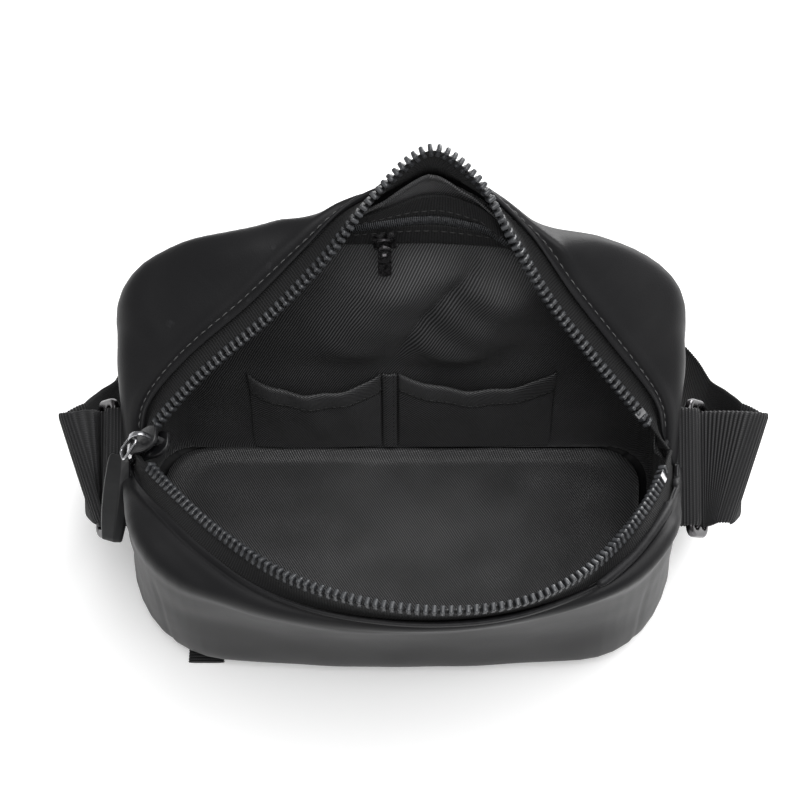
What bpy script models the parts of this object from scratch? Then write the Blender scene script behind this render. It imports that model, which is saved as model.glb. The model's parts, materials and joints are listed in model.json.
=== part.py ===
"""Sling bag: a soft boxy crossbody bag with its top zipper open, lips apart.

Metres, +Z up, +Y to the back of the bag. The origin is the middle of the base, on the surface
that the bag stands on. Both lips of the mouth are hoops that turn about one line along X, through
the two ends of the zipper; each keeps its length as the mouth is drawn together.
"""

import math

import bmesh
import bpy
import numpy as np
from mathutils import Matrix, Vector

# ---- body of the bag -------------------------------------------------------------------------
HALF_WIDTH = 0.0880
FRONT_TAPER = 0.045
FRONT_DEPTH = 0.0420
REAR_DEPTH = 0.0440
REAR_SHOULDER_DEPTH = 0.0500
REAR_SHOULDER_HEIGHT = 0.1110
FRONT_SHOULDER_HEIGHT = 0.0780
END_SHOULDER_HEIGHT = 0.0560
CORNER_RADIUS = 0.0200
BASE_TUCK = 0.0045
WALL_START_HEIGHT = 0.0020
ROLL_HEIGHT = 0.0120
WAIST_HEIGHT = 0.0450
FRONT_BULGE = 0.0230

# ---- mouth -----------------------------------------------------------------------------------
MOUTH_HEIGHT = 0.0720
FRONT_LEAN = math.radians(69.0)
REAR_LEAN = math.radians(-32.3)
# Reach of each lip from the line between the zipper's ends, as (x, reach).
FRONT_LIP = [(-0.085, 0.0), (-0.068, 0.025), (-0.052, 0.044), (-0.033, 0.061), (-0.012, 0.071),
             (0.012, 0.075), (0.034, 0.0715), (0.052, 0.060), (0.066, 0.043), (0.078, 0.021), (0.085, 0.0)]
REAR_LIP = [(-0.085, 0.0), (-0.062, 0.0265), (-0.041, 0.0455), (-0.024, 0.0640), (-0.008, 0.0850),
            (0.009, 0.0990), (0.022, 0.0900), (0.033, 0.0715), (0.045, 0.0510), (0.060, 0.0310), (0.085, 0.0)]
LIP_START = 0.075
LIP_END = 0.925

# ---- cloth, padding and gaps -----------------------------------------------------------------
SHELL_THICKNESS = 0.0014
PADDING_THICKNESS = 0.0024
LINING_THICKNESS = 0.0006
LAYER_GAP = 0.0005
SEAM_GAP = 0.0008
BOARD_THICKNESS = 0.0018
PANEL_SPLIT = 0.165

# ---- main zipper -----------------------------------------------------------------------------
TOOTH_PITCH = 0.0024
TOOTH_DEPTH = 0.0032
TOOTH_HEIGHT = 0.0026
TAPE_START = 0.0020
TAPE_THICKNESS = 0.0008
FABRIC_START = 0.0080
TAPE_LEVELS = [3.8, 4.0]
BAND_LEVELS = [3.03, 3.4, 3.8, 4.0]
SLIDER_RADIUS = 0.0796
SLIDER_RISE = 0.0035
SLIDER_FACING = math.radians(45.0)
SLIDER_LENGTH = 0.0130
SLIDER_WIDTH = 0.0088
SLIDER_PLATE = 0.0016
SLIDER_GAP = 0.0034
BAIL_WIRE = 0.0008
BAIL_RISE = 0.0032
LINK_WIRE = 0.0006
LINK_WIDTH = 0.0064
LINK_LENGTH = 0.0085
PULL_LENGTH = 0.0270
PULL_WIDTH = 0.0085
PULL_THICKNESS = 0.0040
LINK_END = Vector((-0.0895, -0.0040, 0.0722))
PULL_END = Vector((-0.0950, -0.0225, 0.0527))
PULL_FACING = math.radians(40.0)

# ---- pockets inside --------------------------------------------------------------------------
POCKET_HEIGHT = 0.0400
POCKET_FLOOR = 0.0100
POCKET_MOUTH = 0.0095
POCKET_SIDE = 0.30
HEM_HEIGHT = 0.0040
DIVIDER_X = -0.0040
DIVIDER_WIDTH = 0.0060
POCKET_ZIP_LEVEL = 3.30
POCKET_ZIP_START = 0.40
POCKET_ZIP_END = 0.63
POCKET_TAPE_LEVELS = 0.24
POCKET_CHAIN_WIDTH = 0.0036
POCKET_ZIP_CLEARANCE = 0.0018

# ---- strap and its hardware ------------------------------------------------------------------
WEBBING_WIDTH = 0.0380
WEBBING_THICKNESS = 0.0014
STRAP_TILT = math.radians(25.0)
TAB_CENTRE = Vector((0.0, 0.0015, 0.0580))
TAB_REACH = 0.0040
BAR_THICKNESS = 0.0026
BUCKLE_PITCH = 0.0120
BUCKLE_RAIL = 0.0030
BUCKLE_DROOP = math.radians(60.0)
RIGHT_STRAP_REACH = 0.0205
LEFT_STRAP_REACH = 0.0130
STRAP_ROLL = 0.0050
STRAP_ROLL_RISE = -0.0060
HANK_LENGTH = 0.1500
HANK_DEPTH = 0.0300
HANK_START = 0.0600
HANK_LIFT = 0.0022
TIE_WIDTH = 0.0120
TIE_THICKNESS = 0.0012
STRAP_CLEARANCE = 0.0006
STRAP_JOIN_GAP = 0.0030
FLOOR_TAB_X = -0.0660
FLOOR_TAB_REACH = 0.0054

SHARE_STEP = 0.002
LEVEL_STEP = 0.02


# ---- scene and materials ---------------------------------------------------------------------
def clear_scene():
    for item in list(bpy.data.objects):
        bpy.data.objects.remove(item)


def new_collection(name):
    collection = bpy.data.collections.new(name)
    bpy.context.scene.collection.children.link(collection)
    return collection


def new_material(name, colour, roughness, metallic=0.0):
    material = bpy.data.materials.new(name)
    material.use_nodes = True
    shader = material.node_tree.nodes["Principled BSDF"]
    shader.inputs["Base Color"].default_value = (*colour, 1.0)
    shader.inputs["Roughness"].default_value = roughness
    shader.inputs["Metallic"].default_value = metallic
    material.diffuse_color = (*colour, 1.0)
    return material


clear_scene()
BAG = new_collection("sling_bag")
CUTTERS = new_collection("sling_bag_cutters")
CUTTERS.hide_render = True
COATED_FABRIC = new_material("coated_fabric", (0.030, 0.030, 0.032), 0.55)
LINING_TWILL = new_material("lining_twill", (0.012, 0.012, 0.013), 0.35)
FOAM = new_material("foam", (0.20, 0.20, 0.21), 0.9)
BOARD = new_material("board", (0.10, 0.10, 0.10), 0.8)
TAPE = new_material("zipper_tape", (0.014, 0.014, 0.015), 0.8)
TEETH = new_material("moulded_teeth", (0.055, 0.058, 0.062), 0.4)
GUNMETAL = new_material("gunmetal", (0.22, 0.21, 0.22), 0.28, 1.0)
BRIGHT_METAL = new_material("bright_metal", (0.75, 0.75, 0.76), 0.2, 1.0)
SOFT_RUBBER = new_material("soft_rubber", (0.020, 0.021, 0.024), 0.5)
WEBBING = new_material("webbing", (0.045, 0.045, 0.048), 0.75)


def add_object(name, mesh, material, owner=BAG):
    item = bpy.data.objects.new(name, mesh)
    mesh.materials.clear()
    mesh.materials.append(material)
    owner.objects.link(item)
    return item


def mesh_of(name, body):
    """A mesh from a bmesh, which is freed."""
    mesh = bpy.data.meshes.new(name)
    body.to_mesh(mesh)
    body.free()
    return mesh


# ---- curves through points -------------------------------------------------------------------
def curve_through(points, count, power=0.5):
    """Evenly spaced points on a smooth curve through the given ones (centripetal knots)."""
    points = np.asarray(points, float)
    steps = np.linalg.norm(np.diff(points, axis=0), axis=1) ** power
    knots = np.concatenate([[0.0], np.cumsum(steps)])
    dense = np.linspace(0.0, knots[-1], 40 * len(points))
    slopes = np.gradient(points, knots, axis=0)
    cell = np.clip(np.searchsorted(knots, dense, side="right") - 1, 0, len(points) - 2)
    width = knots[cell + 1] - knots[cell]
    t = ((dense - knots[cell]) / width)[:, None]
    start, end = points[cell], points[cell + 1]
    rise, fall = slopes[cell] * width[:, None], slopes[cell + 1] * width[:, None]
    line = (start * (2 * t**3 - 3 * t**2 + 1) + rise * (t**3 - 2 * t**2 + t)
            + end * (3 * t**2 - 2 * t**3) + fall * (t**3 - t**2))
    return evenly(line, np.linspace(0.0, 1.0, count))


def evenly(line, shares):
    """Points at the given shares of a polyline's length."""
    run = np.concatenate([[0.0], np.cumsum(np.linalg.norm(np.diff(line, axis=0), axis=1))])
    return np.stack([np.interp(np.asarray(shares) * run[-1], run, column) for column in line.T], axis=1)


def unit(vectors):
    return vectors / np.linalg.norm(vectors, axis=-1, keepdims=True)


def lip_line(side, shares):
    """The row of teeth of one lip, from the zipper's left end to its right end."""
    controls, lean = (FRONT_LIP, FRONT_LEAN) if side < 0 else (REAR_LIP, REAR_LEAN)
    flat = curve_through(controls, 400)
    heights = MOUTH_HEIGHT + math.cos(lean) * flat[:, 1]
    line = np.stack([flat[:, 0], -math.sin(lean) * flat[:, 1], heights], axis=1)
    return evenly(line, shares)


def narrowed(x, y):
    """The bag is a little narrower towards its front."""
    return x * (1 - FRONT_TAPER * max(-y, 0.0) / FRONT_DEPTH), y


def half_outline(side, half_width, depth, radius, shares):
    """Half of a rounded rectangle, from its left middle by the front (side -1) or the rear (side 1)."""
    turns = np.linspace(0.0, math.pi / 2, 9)
    inwards, forwards = radius * (1 - np.cos(turns)), radius * (1 - np.sin(turns))
    left = np.stack([inwards - half_width, depth - forwards], axis=1)
    right = left[::-1] * [-1, 1]
    outline = np.concatenate([[[-half_width, 0.0]], left, right, [[half_width, 0.0]]])
    outline = evenly(outline, shares) * [1, side]
    return np.array([narrowed(x, y) for x, y in outline])


def level(ring, heights):
    return np.column_stack([ring, np.broadcast_to(heights, len(ring))])


def rise_to(shares, end_height, middle_height, reach=PANEL_SPLIT):
    """Height that climbs from the zipper's end to the corner and then stays level."""
    climb = np.clip(np.minimum(shares, 1 - shares) / reach, 0.0, 1.0)
    return end_height + (middle_height - end_height) * np.sin(climb * math.pi / 2)


def shell_rings(side, shares):
    """The five lines that the shell is drawn through, from the base to the fabric's edge."""
    shares = np.asarray(shares, float)
    depth = FRONT_DEPTH if side < 0 else REAR_DEPTH
    bulge = FRONT_BULGE if side < 0 else 0.0
    foot = half_outline(side, HALF_WIDTH - BASE_TUCK, depth - BASE_TUCK, CORNER_RADIUS, shares)
    base = level(foot, WALL_START_HEIGHT)
    roll = level(half_outline(side, HALF_WIDTH, depth, CORNER_RADIUS, shares), ROLL_HEIGHT)
    waist = level(half_outline(side, HALF_WIDTH + 0.001, depth + 0.001, CORNER_RADIUS, shares), WAIST_HEIGHT)
    if side < 0:
        shoulder = level(half_outline(side, HALF_WIDTH, depth + 0.001, CORNER_RADIUS, shares),
                         rise_to(shares, END_SHOULDER_HEIGHT, FRONT_SHOULDER_HEIGHT))
    else:
        shoulder = level(half_outline(side, HALF_WIDTH - 0.001, REAR_SHOULDER_DEPTH, CORNER_RADIUS, shares),
                         rise_to(shares, END_SHOULDER_HEIGHT, REAR_SHOULDER_HEIGHT))
    for ring, share in ((waist, 0.42), (shoulder, 1.0)):
        swell = np.clip(1 - (ring[:, 0] / HALF_WIDTH) ** 2, 0.0, 1.0)
        ring[:, 1] -= bulge * share * swell
    teeth = lip_line(side, shares)
    away = outward_from(teeth, row_direction(side, shares), shoulder)
    return [base, roll, waist, shoulder, teeth + FABRIC_START * away]


def row_direction(side, shares):
    """Direction of the row of teeth at each share of its length."""
    before = np.clip(shares - SHARE_STEP, 0.0, 1.0)
    after = np.clip(shares + SHARE_STEP, 0.0, 1.0)
    return unit(lip_line(side, after) - lip_line(side, before))


def outward_from(teeth, along, shoulder):
    """The way across the tape at each tooth: towards the shoulder and square to the row."""
    reach = shoulder - teeth
    return unit(reach - along * np.sum(reach * along, axis=1, keepdims=True))


def shell_grid(side, shares, levels, inset=0.0):
    """Points of the shell's surface at these shares and levels, moved inwards by inset."""
    shares = np.asarray(shares, float)
    grid = surface(side, shares, levels)
    if np.ndim(inset) == 0 and inset == 0.0:
        return grid
    before, after = np.clip(shares - SHARE_STEP, 0.0, 1.0), np.clip(shares + SHARE_STEP, 0.0, 1.0)
    along = surface(side, after, levels) - surface(side, before, levels)
    lower = np.clip(np.asarray(levels) - LEVEL_STEP, 0.0, 4.0)
    upper = np.clip(np.asarray(levels) + LEVEL_STEP, 0.0, 4.0)
    up = surface(side, shares, upper) - surface(side, shares, lower)
    normal = unit(np.cross(along, up)) * side
    return grid + normal * np.broadcast_to(inset, grid.shape[:2])[..., None]


def surface(side, shares, levels):
    rings = np.stack(shell_rings(side, shares))
    return np.stack([through_rings(rings, value) for value in levels])


def through_rings(rings, value):
    """A line between the rings, smooth in the level 0 to 4."""
    cell = min(int(value), len(rings) - 2)
    t = value - cell
    tangents = np.gradient(rings, axis=0)
    return (rings[cell] * (2 * t**3 - 3 * t**2 + 1) + tangents[cell] * (t**3 - 2 * t**2 + t)
            + rings[cell + 1] * (3 * t**2 - 2 * t**3) + tangents[cell + 1] * (t**3 - t**2))


# ---- solids ----------------------------------------------------------------------------------
def sheet(name, grid, thickness, material, offset=0.0):
    """A closed cloth solid: an open surface through the grid, made thick by Solidify."""
    rows, columns = grid.shape[:2]
    body = bmesh.new()
    points = [[body.verts.new(point) for point in row] for row in grid]
    for row in range(rows - 1):
        for column in range(columns - 1):
            body.faces.new((points[row][column], points[row][column + 1],
                            points[row + 1][column + 1], points[row + 1][column]))
    bmesh.ops.recalc_face_normals(body, faces=body.faces)
    item = add_object(name, mesh_of(name, body), material)
    solid = item.modifiers.new("thickness", "SOLIDIFY")
    solid.thickness = thickness
    solid.offset = offset
    solid.use_even_offset = False
    item.data.shade_smooth()
    return item


def wall(name, side, shares, levels, depth, thickness, material):
    """A panel of one layer: its outer face lies depth inside the shell's face."""
    return sheet(name, shell_grid(side, shares, levels, depth + thickness / 2), thickness, material)


def ribbon(name, centres, across, width, thickness, material):
    """A flat strip along a line; across gives its crosswise direction at each point."""
    centres = np.asarray(centres, float)
    across = unit(np.broadcast_to(np.asarray(across, float), centres.shape))
    edges = np.stack([centres - across * width / 2, centres + across * width / 2])
    return sheet(name, edges, thickness, material)


def box_at(body, centre, axes, size):
    turn = Matrix((axes[0], axes[1], axes[2])).transposed().to_4x4()
    scale = Matrix.Diagonal((*size, 1.0))
    bmesh.ops.create_cube(body, size=1.0, matrix=Matrix.Translation(centre) @ turn @ scale)


def slab(name, outline, thickness, material, place):
    """A flat outline with straight sides; the first ring is its edge and any others are holes."""
    curve = bpy.data.curves.new(name, "CURVE")
    curve.dimensions = "2D"
    curve.fill_mode = "BOTH"
    curve.extrude = thickness / 2
    for ring in outline:
        spline = curve.splines.new("POLY")
        spline.points.add(len(ring) - 1)
        for point, (x, y) in zip(spline.points, ring):
            point.co = (x, y, 0.0, 1.0)
        spline.use_cyclic_u = True
    guide = bpy.data.objects.new(name + "_outline", curve)
    CUTTERS.objects.link(guide)
    bpy.context.view_layer.update()
    graph = bpy.context.evaluated_depsgraph_get()
    mesh = bpy.data.meshes.new_from_object(guide.evaluated_get(graph))
    body = bmesh.new()
    body.from_mesh(mesh)
    bmesh.ops.remove_doubles(body, verts=body.verts, dist=1e-6)
    bmesh.ops.recalc_face_normals(body, faces=body.faces)
    body.to_mesh(mesh)
    body.free()
    bpy.data.objects.remove(guide)
    item = add_object(name, mesh, material)
    item.matrix_world = place
    return item


def wire(name, points, radius, material, cyclic=False):
    curve = bpy.data.curves.new(name, "CURVE")
    curve.dimensions = "3D"
    curve.bevel_depth = radius
    curve.bevel_resolution = 1
    curve.use_fill_caps = True
    spline = curve.splines.new("POLY")
    spline.points.add(len(points) - 1)
    for point, place in zip(spline.points, points):
        point.co = (*place, 1.0)
    spline.use_cyclic_u = cyclic
    return add_object(name, curve, material)


def rounded(half_width, half_height, radius, corner_points=4):
    """A rounded rectangle about the origin, as one closed ring of points."""
    ring = []
    for quarter in range(4):
        sign_x, sign_y = ((1, 1), (-1, 1), (-1, -1), (1, -1))[quarter]
        for step in range(corner_points):
            turn = math.pi / 2 * (quarter + step / (corner_points - 1))
            ring.append((sign_x * (half_width - radius) + radius * math.cos(turn),
                         sign_y * (half_height - radius) + radius * math.sin(turn)))
    return ring


# ---- body ------------------------------------------------------------------------------------
def make_walls():
    """Shell, padding and lining, each a panel of its own, from the base up to the shoulder."""
    gap = SEAM_GAP / 0.26 / 2
    middle = np.linspace(PANEL_SPLIT + gap, 1 - PANEL_SPLIT - gap, 13)
    end = np.linspace(0.004, PANEL_SPLIT - gap, 7)
    heights = np.array([0.0, 0.35, 0.8, 1.5, 2.2, 2.9])
    inner = heights[2:]
    padding_depth = SHELL_THICKNESS + LAYER_GAP
    lining_depth = padding_depth + PADDING_THICKNESS + LAYER_GAP
    for side, word in ((-1, "front"), (1, "rear")):
        wall(word + "_panel", side, middle, heights, 0.0, SHELL_THICKNESS, COATED_FABRIC)
        wall(word + "_padding", side, middle, inner, padding_depth, PADDING_THICKNESS, FOAM)
        wall(word + "_lining", side, middle, inner, lining_depth, LINING_THICKNESS, LINING_TWILL)
    for hand, word in ((-1, "left"), (1, "right")):
        for side, half in ((-1, "front"), (1, "rear")):
            shares = end if hand < 0 else 1 - end[::-1]
            wall(f"{word}_{half}_gusset", side, shares, heights, 0.0, SHELL_THICKNESS, COATED_FABRIC)
        gusset_lining(word, hand, lining_depth)


def gusset_lining(word, hand, depth):
    """The lining of one end, in one piece round both corners."""
    end = np.linspace(0.0, PANEL_SPLIT - SEAM_GAP / 0.26, 6)
    shares = end if hand < 0 else 1 - end
    levels = np.array([0.8, 1.5, 2.2])
    halves = [shell_grid(side, np.sort(shares), levels, depth + LINING_THICKNESS / 2) for side in (-1, 1)]
    if hand < 0:
        grid = np.concatenate([halves[0][:, ::-1], halves[1][:, 1:]], axis=1)
    else:
        grid = np.concatenate([halves[0], halves[1][:, ::-1][:, 1:]], axis=1)
    sheet(word + "_lining", grid, LINING_THICKNESS, LINING_TWILL)


def make_floor():
    """Base fabric, stiffening board and lining, one on another."""
    clear = BASE_TUCK + SHELL_THICKNESS + LAYER_GAP
    half_width = HALF_WIDTH - clear
    front, rear = FRONT_DEPTH - clear, REAR_DEPTH - clear
    middle = (rear - front) / 2
    half_depth = (rear + front) / 2
    radius = CORNER_RADIUS - SHELL_THICKNESS
    bottom = 0.0
    for name, thickness, shrink, material in (("base_panel", SHELL_THICKNESS, 0.0, COATED_FABRIC),
                                              ("base_board", BOARD_THICKNESS, 0.0015, BOARD),
                                              ("floor_lining", LINING_THICKNESS, 0.0025, LINING_TWILL)):
        ring = [narrowed(x, middle + y) for x, y in rounded(half_width - shrink, half_depth - shrink, radius, 6)]
        place = Matrix.Translation((0.0, 0.0, bottom + thickness / 2))
        slab(name, [ring], thickness, material, place)
        bottom += thickness + LAYER_GAP
    webbing_end = rounded(0.0060, FLOOR_TAB_REACH / 2, 0.0008, 3)
    tab_y = -front - LAYER_GAP - FLOOR_TAB_REACH / 2
    tab_place = Matrix.Translation((FLOOR_TAB_X, tab_y, WEBBING_THICKNESS / 2))
    slab("base_seam_tab", [webbing_end], WEBBING_THICKNESS, WEBBING, tab_place)


# ---- lips and main zipper --------------------------------------------------------------------
def lip_frame(side, shares):
    """Row of teeth with its directions: along the row, across the tape, and square to the tape."""
    shares = np.asarray(shares, float)
    teeth, along = lip_line(side, shares), row_direction(side, shares)
    away = outward_from(teeth, along, shell_rings(side, shares)[3])
    return teeth, along, away, unit(np.cross(along, away))


def make_lip(side, word):
    """One lip: its tape and row of teeth, the shell's top band outside, and the lining inside."""
    shares = lip_shares()
    teeth, _, away, _ = lip_frame(side, shares)
    sewn = shell_grid(side, shares, TAPE_LEVELS)
    sheet(word + "_zip_tape", np.concatenate([sewn, [teeth + away * TAPE_START]]), TAPE_THICKNESS, TAPE)

    length = np.linalg.norm(np.diff(lip_line(side, np.linspace(0, 1, 200)), axis=0), axis=1).sum()
    count = 2 * int((LIP_END - LIP_START) * length / TOOTH_PITCH) + 1
    teeth, _, away, _ = lip_frame(side, np.linspace(LIP_START, LIP_END, count))
    tips = np.where(np.arange(count) % 2 == 0, -TOOTH_DEPTH / 2, -TOOTH_DEPTH / 8)[:, None]
    row = np.stack([teeth + away * tips, teeth + away * TOOTH_DEPTH / 2])
    sheet(word + "_zip_teeth", row, TOOTH_HEIGHT, TEETH)

    outer = TAPE_THICKNESS / 2 + 2.0 * LAYER_GAP + SHELL_THICKNESS / 2
    sheet(word + "_lip_band", shell_grid(side, shares, BAND_LEVELS, -outer), SHELL_THICKNESS, COATED_FABRIC)
    band = shell_grid(side, shares, BAND_LEVELS, lip_lining_depth())
    sheet(word + "_lip_lining", band, LINING_THICKNESS, LINING_TWILL)


def lip_shares():
    return np.linspace(LIP_START, LIP_END, 29)


def lip_lining_depth():
    return TAPE_THICKNESS / 2 + LAYER_GAP + PADDING_THICKNESS / 2 + LINING_THICKNESS / 2


def make_stops():
    """The stop under the slider at the left end, and one at the end of each row at the right."""
    body = bmesh.new()
    place = slider_place()
    turn = place.to_3x3()
    seat = place @ Vector((-SLIDER_LENGTH / 2 - 0.0019, 0.0, 0.0))
    box_at(body, seat, [turn.col[axis] for axis in range(3)], (0.0026, 0.0060, 0.0030))
    add_object("zip_bottom_stop", mesh_of("zip_bottom_stop", body), BRIGHT_METAL)
    for side, word in ((-1, "front"), (1, "rear")):
        share = LIP_END + 0.012
        frame = lip_frame(side, [share - 0.004, share, share + 0.004])
        body = bmesh.new()
        box_at(body, Vector(frame[0][1]), [axis[1] for axis in frame[1:]], (0.0022, TOOTH_DEPTH, TOOTH_HEIGHT))
        name = word + "_zip_top_stop"
        add_object(name, mesh_of(name, body), BRIGHT_METAL)


def slider_place():
    """The slider's own frame: X along the zipper, Y across it, Z out of the bag."""
    rise, run = math.sin(SLIDER_FACING), math.cos(SLIDER_FACING)
    turn = Matrix(((rise, 0, -run), (0, 1, 0), (run, 0, rise))).to_4x4()
    return Matrix.Translation((-SLIDER_RADIUS, 0.0, MOUTH_HEIGHT + SLIDER_RISE)) @ turn


def make_slider(name, place, length, width, plate, gap, material):
    """Two plates joined by a neck at the front, with channels for the teeth on both sides."""
    shape = [(length / 2, width * 0.34), (length * 0.22, width / 2), (-length / 2, width * 0.36),
             (-length / 2, -width * 0.36), (length * 0.22, -width / 2), (length / 2, -width * 0.34)]
    body = bmesh.new()
    heights = {"top": (gap / 2 + plate, gap / 2), "bottom": (-gap / 2, -gap / 2 - plate)}
    rings = []
    for high, low in heights.values():
        rings.append([[body.verts.new((x, y, z)) for x, y in shape] for z in (high, low)])
    neck = [(length * 0.40, width * 0.12), (length * 0.10, width * 0.12),
            (length * 0.10, -width * 0.12), (length * 0.40, -width * 0.12)]
    necks = [[body.verts.new((x, y, z)) for x, y in neck] for z in (gap / 2, -gap / 2)]
    for upper, lower in rings:
        close_sides(body, upper, lower)
    close_sides(body, necks[0], necks[1])
    body.faces.new(rings[0][0])
    body.faces.new(rings[1][1][::-1])
    bridge_with_hole(body, rings[0][1], necks[0])
    bridge_with_hole(body, rings[1][0], necks[1])
    bmesh.ops.recalc_face_normals(body, faces=body.faces)
    item = add_object(name, mesh_of(name, body), material)
    item.matrix_world = place
    return item


def close_sides(body, upper, lower):
    for index in range(len(upper)):
        after = (index + 1) % len(upper)
        body.faces.new((upper[index], lower[index], lower[after], upper[after]))


def bridge_with_hole(body, outer, inner):
    """Faces between a plate's outline and the neck that stands on it."""
    edges = []
    for ring in (outer, inner):
        for index in range(len(ring)):
            pair = (ring[index], ring[(index + 1) % len(ring)])
            edges.append(body.edges.get(pair) or body.edges.new(pair))
    bmesh.ops.triangle_fill(body, edges=edges, use_beauty=True)


def make_pull():
    """Bail on the slider, metal link through it, and the faceted rubber pull on the link."""
    place = slider_place()
    top = SLIDER_GAP / 2 + SLIDER_PLATE
    half = SLIDER_LENGTH * 0.24
    arch = [Vector((half * math.cos(turn), 0.0, top + 0.0011 + BAIL_RISE * math.sin(turn)))
            for turn in np.linspace(0.0, math.pi, 9)]
    wire("zip_slider_bail", [place @ point for point in arch], BAIL_WIRE, BRIGHT_METAL)
    hinge = place @ Vector((0.0, 0.0, top + 0.0011 + BAIL_RISE - BAIL_WIRE - LINK_WIRE - 0.0003))
    down = (LINK_END - hinge).normalized()
    side = Vector((0.0, 1.0, 0.0)).cross(down).cross(down).normalized()
    link = [hinge + side * (x * LINK_WIDTH / 2) + down * y
            for x, y in ((1, 0.0), (1, LINK_LENGTH), (-1, LINK_LENGTH), (-1, 0.0))]
    wire("pull_link", link, LINK_WIRE, BRIGHT_METAL, cyclic=True)
    make_rubber_pull(hinge + down * (LINK_LENGTH + 2 * LINK_WIRE + 0.0006))


def make_rubber_pull(start):
    """A bar with a ridge along its outer face, thicker towards its free end."""
    down = (PULL_END - start).normalized()
    side = Vector((math.cos(PULL_FACING), -math.sin(PULL_FACING), 0.0))
    out = side.cross(down).normalized()
    out = out if out.y < 0 else -out
    side = down.cross(out)
    body = bmesh.new()
    rings = []
    for along, width, thick, ridge in ((0.0, 0.78, 0.62, 0.10), (0.16, 0.92, 0.80, 0.04),
                                       (0.62, 1.0, 1.0, -0.16), (0.93, 0.80, 0.86, -0.10), (1.0, 0.66, 0.55, -0.06)):
        centre = start + down * (along * PULL_LENGTH)
        half, deep = width * PULL_WIDTH / 2, thick * PULL_THICKNESS / 2
        profile = ((-half, -deep * 0.8), (-half, deep * 0.25), (ridge * PULL_WIDTH, deep),
                   (half, deep * 0.25), (half, -deep * 0.8))
        rings.append([body.verts.new(centre + side * x + out * z) for x, z in profile])
    for upper, lower in zip(rings, rings[1:]):
        close_sides(body, upper, lower)
    body.faces.new(rings[0])
    body.faces.new(rings[-1][::-1])
    bmesh.ops.recalc_face_normals(body, faces=body.faces)
    add_object("rubber_pull", mesh_of("rubber_pull", body), SOFT_RUBBER)


# ---- pockets on the rear lining --------------------------------------------------------------
def lining_face():
    return SHELL_THICKNESS + PADDING_THICKNESS + LINING_THICKNESS + 2 * LAYER_GAP


def make_slip_pockets():
    """Two open pockets side by side, their mouths standing off the lining, with one hem each."""
    for low, high, word in ((POCKET_SIDE, pocket_split() - 0.012, "left"),
                            (pocket_split() + 0.012, 1 - POCKET_SIDE, "right")):
        shares = np.linspace(low, high, 9)
        belly = np.sin(np.linspace(0.0, math.pi, 9)) ** 0.7
        levels = level_at_height(np.linspace(POCKET_FLOOR, POCKET_FLOOR + POCKET_HEIGHT, 4))
        opening = np.linspace(0.15, 1.0, 4)[:, None] * belly[None, :] * POCKET_MOUTH
        depth = lining_face() + LAYER_GAP + LINING_THICKNESS / 2 + opening
        sheet(word + "_slip_pocket", shell_grid(1, shares, levels, depth), LINING_THICKNESS, LINING_TWILL)
        hem_low = POCKET_FLOOR + POCKET_HEIGHT + LAYER_GAP
        hem_levels = level_at_height(np.array([hem_low, hem_low + HEM_HEIGHT]))
        hem_depth = lining_face() + LAYER_GAP + LINING_THICKNESS + belly[None, :] * POCKET_MOUTH
        grid = shell_grid(1, shares, hem_levels, np.repeat(hem_depth, 2, axis=0))
        sheet(word + "_pocket_hem", grid, 2 * LINING_THICKNESS, LINING_TWILL)
    make_divider()


def pocket_split():
    """The share of the rear wall at the seam between the pockets."""
    return 0.5 + DIVIDER_X / 0.25


def level_at_height(heights):
    """Levels of the rear wall's middle at the given heights."""
    levels = np.linspace(0.0, 3.0, 61)
    rings = np.stack(shell_rings(1, np.array([0.49, 0.5, 0.51])))
    found = [through_rings(rings, value)[1, 2] for value in levels]
    return np.interp(heights, found, levels)


def make_divider():
    """The seam tape that holds both pockets to the lining between them."""
    half = DIVIDER_WIDTH / 2 / 0.25 * 0.7
    shares = np.array([pocket_split() - half, pocket_split() + half])
    levels = level_at_height(np.linspace(POCKET_FLOOR, POCKET_FLOOR + POCKET_HEIGHT + HEM_HEIGHT, 4))
    depth = lining_face() + LAYER_GAP + LINING_THICKNESS / 2
    sheet("pocket_divider", shell_grid(1, shares, levels, depth), LINING_THICKNESS, LINING_TWILL)


def make_zip_pocket():
    """The zipped pocket high on the rear lining: two tapes, their chain, a slider and a pull."""
    shares = lip_shares()
    shares = shares[(shares > POCKET_ZIP_START) & (shares < POCKET_ZIP_END)]
    depth = lip_lining_depth() + LINING_THICKNESS / 2 + TAPE_THICKNESS + POCKET_ZIP_CLEARANCE
    levels = [POCKET_ZIP_LEVEL - POCKET_TAPE_LEVELS, POCKET_ZIP_LEVEL, POCKET_ZIP_LEVEL + POCKET_TAPE_LEVELS]
    below, centre, above = shell_grid(1, shares, levels, depth)
    up = outward_from(below, unit(np.gradient(centre, axis=0)), above)
    reach = POCKET_CHAIN_WIDTH / 2 + LAYER_GAP
    for sign, word, edge in ((1, "upper", above), (-1, "lower", below)):
        sheet(f"pocket_zip_{word}_tape", np.stack([centre + up * sign * reach, edge]), TAPE_THICKNESS, TAPE)
    ribbon("pocket_zip_chain", centre, up, POCKET_CHAIN_WIDTH, 0.0012, TEETH)
    make_pocket_slider(centre, up)


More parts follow.
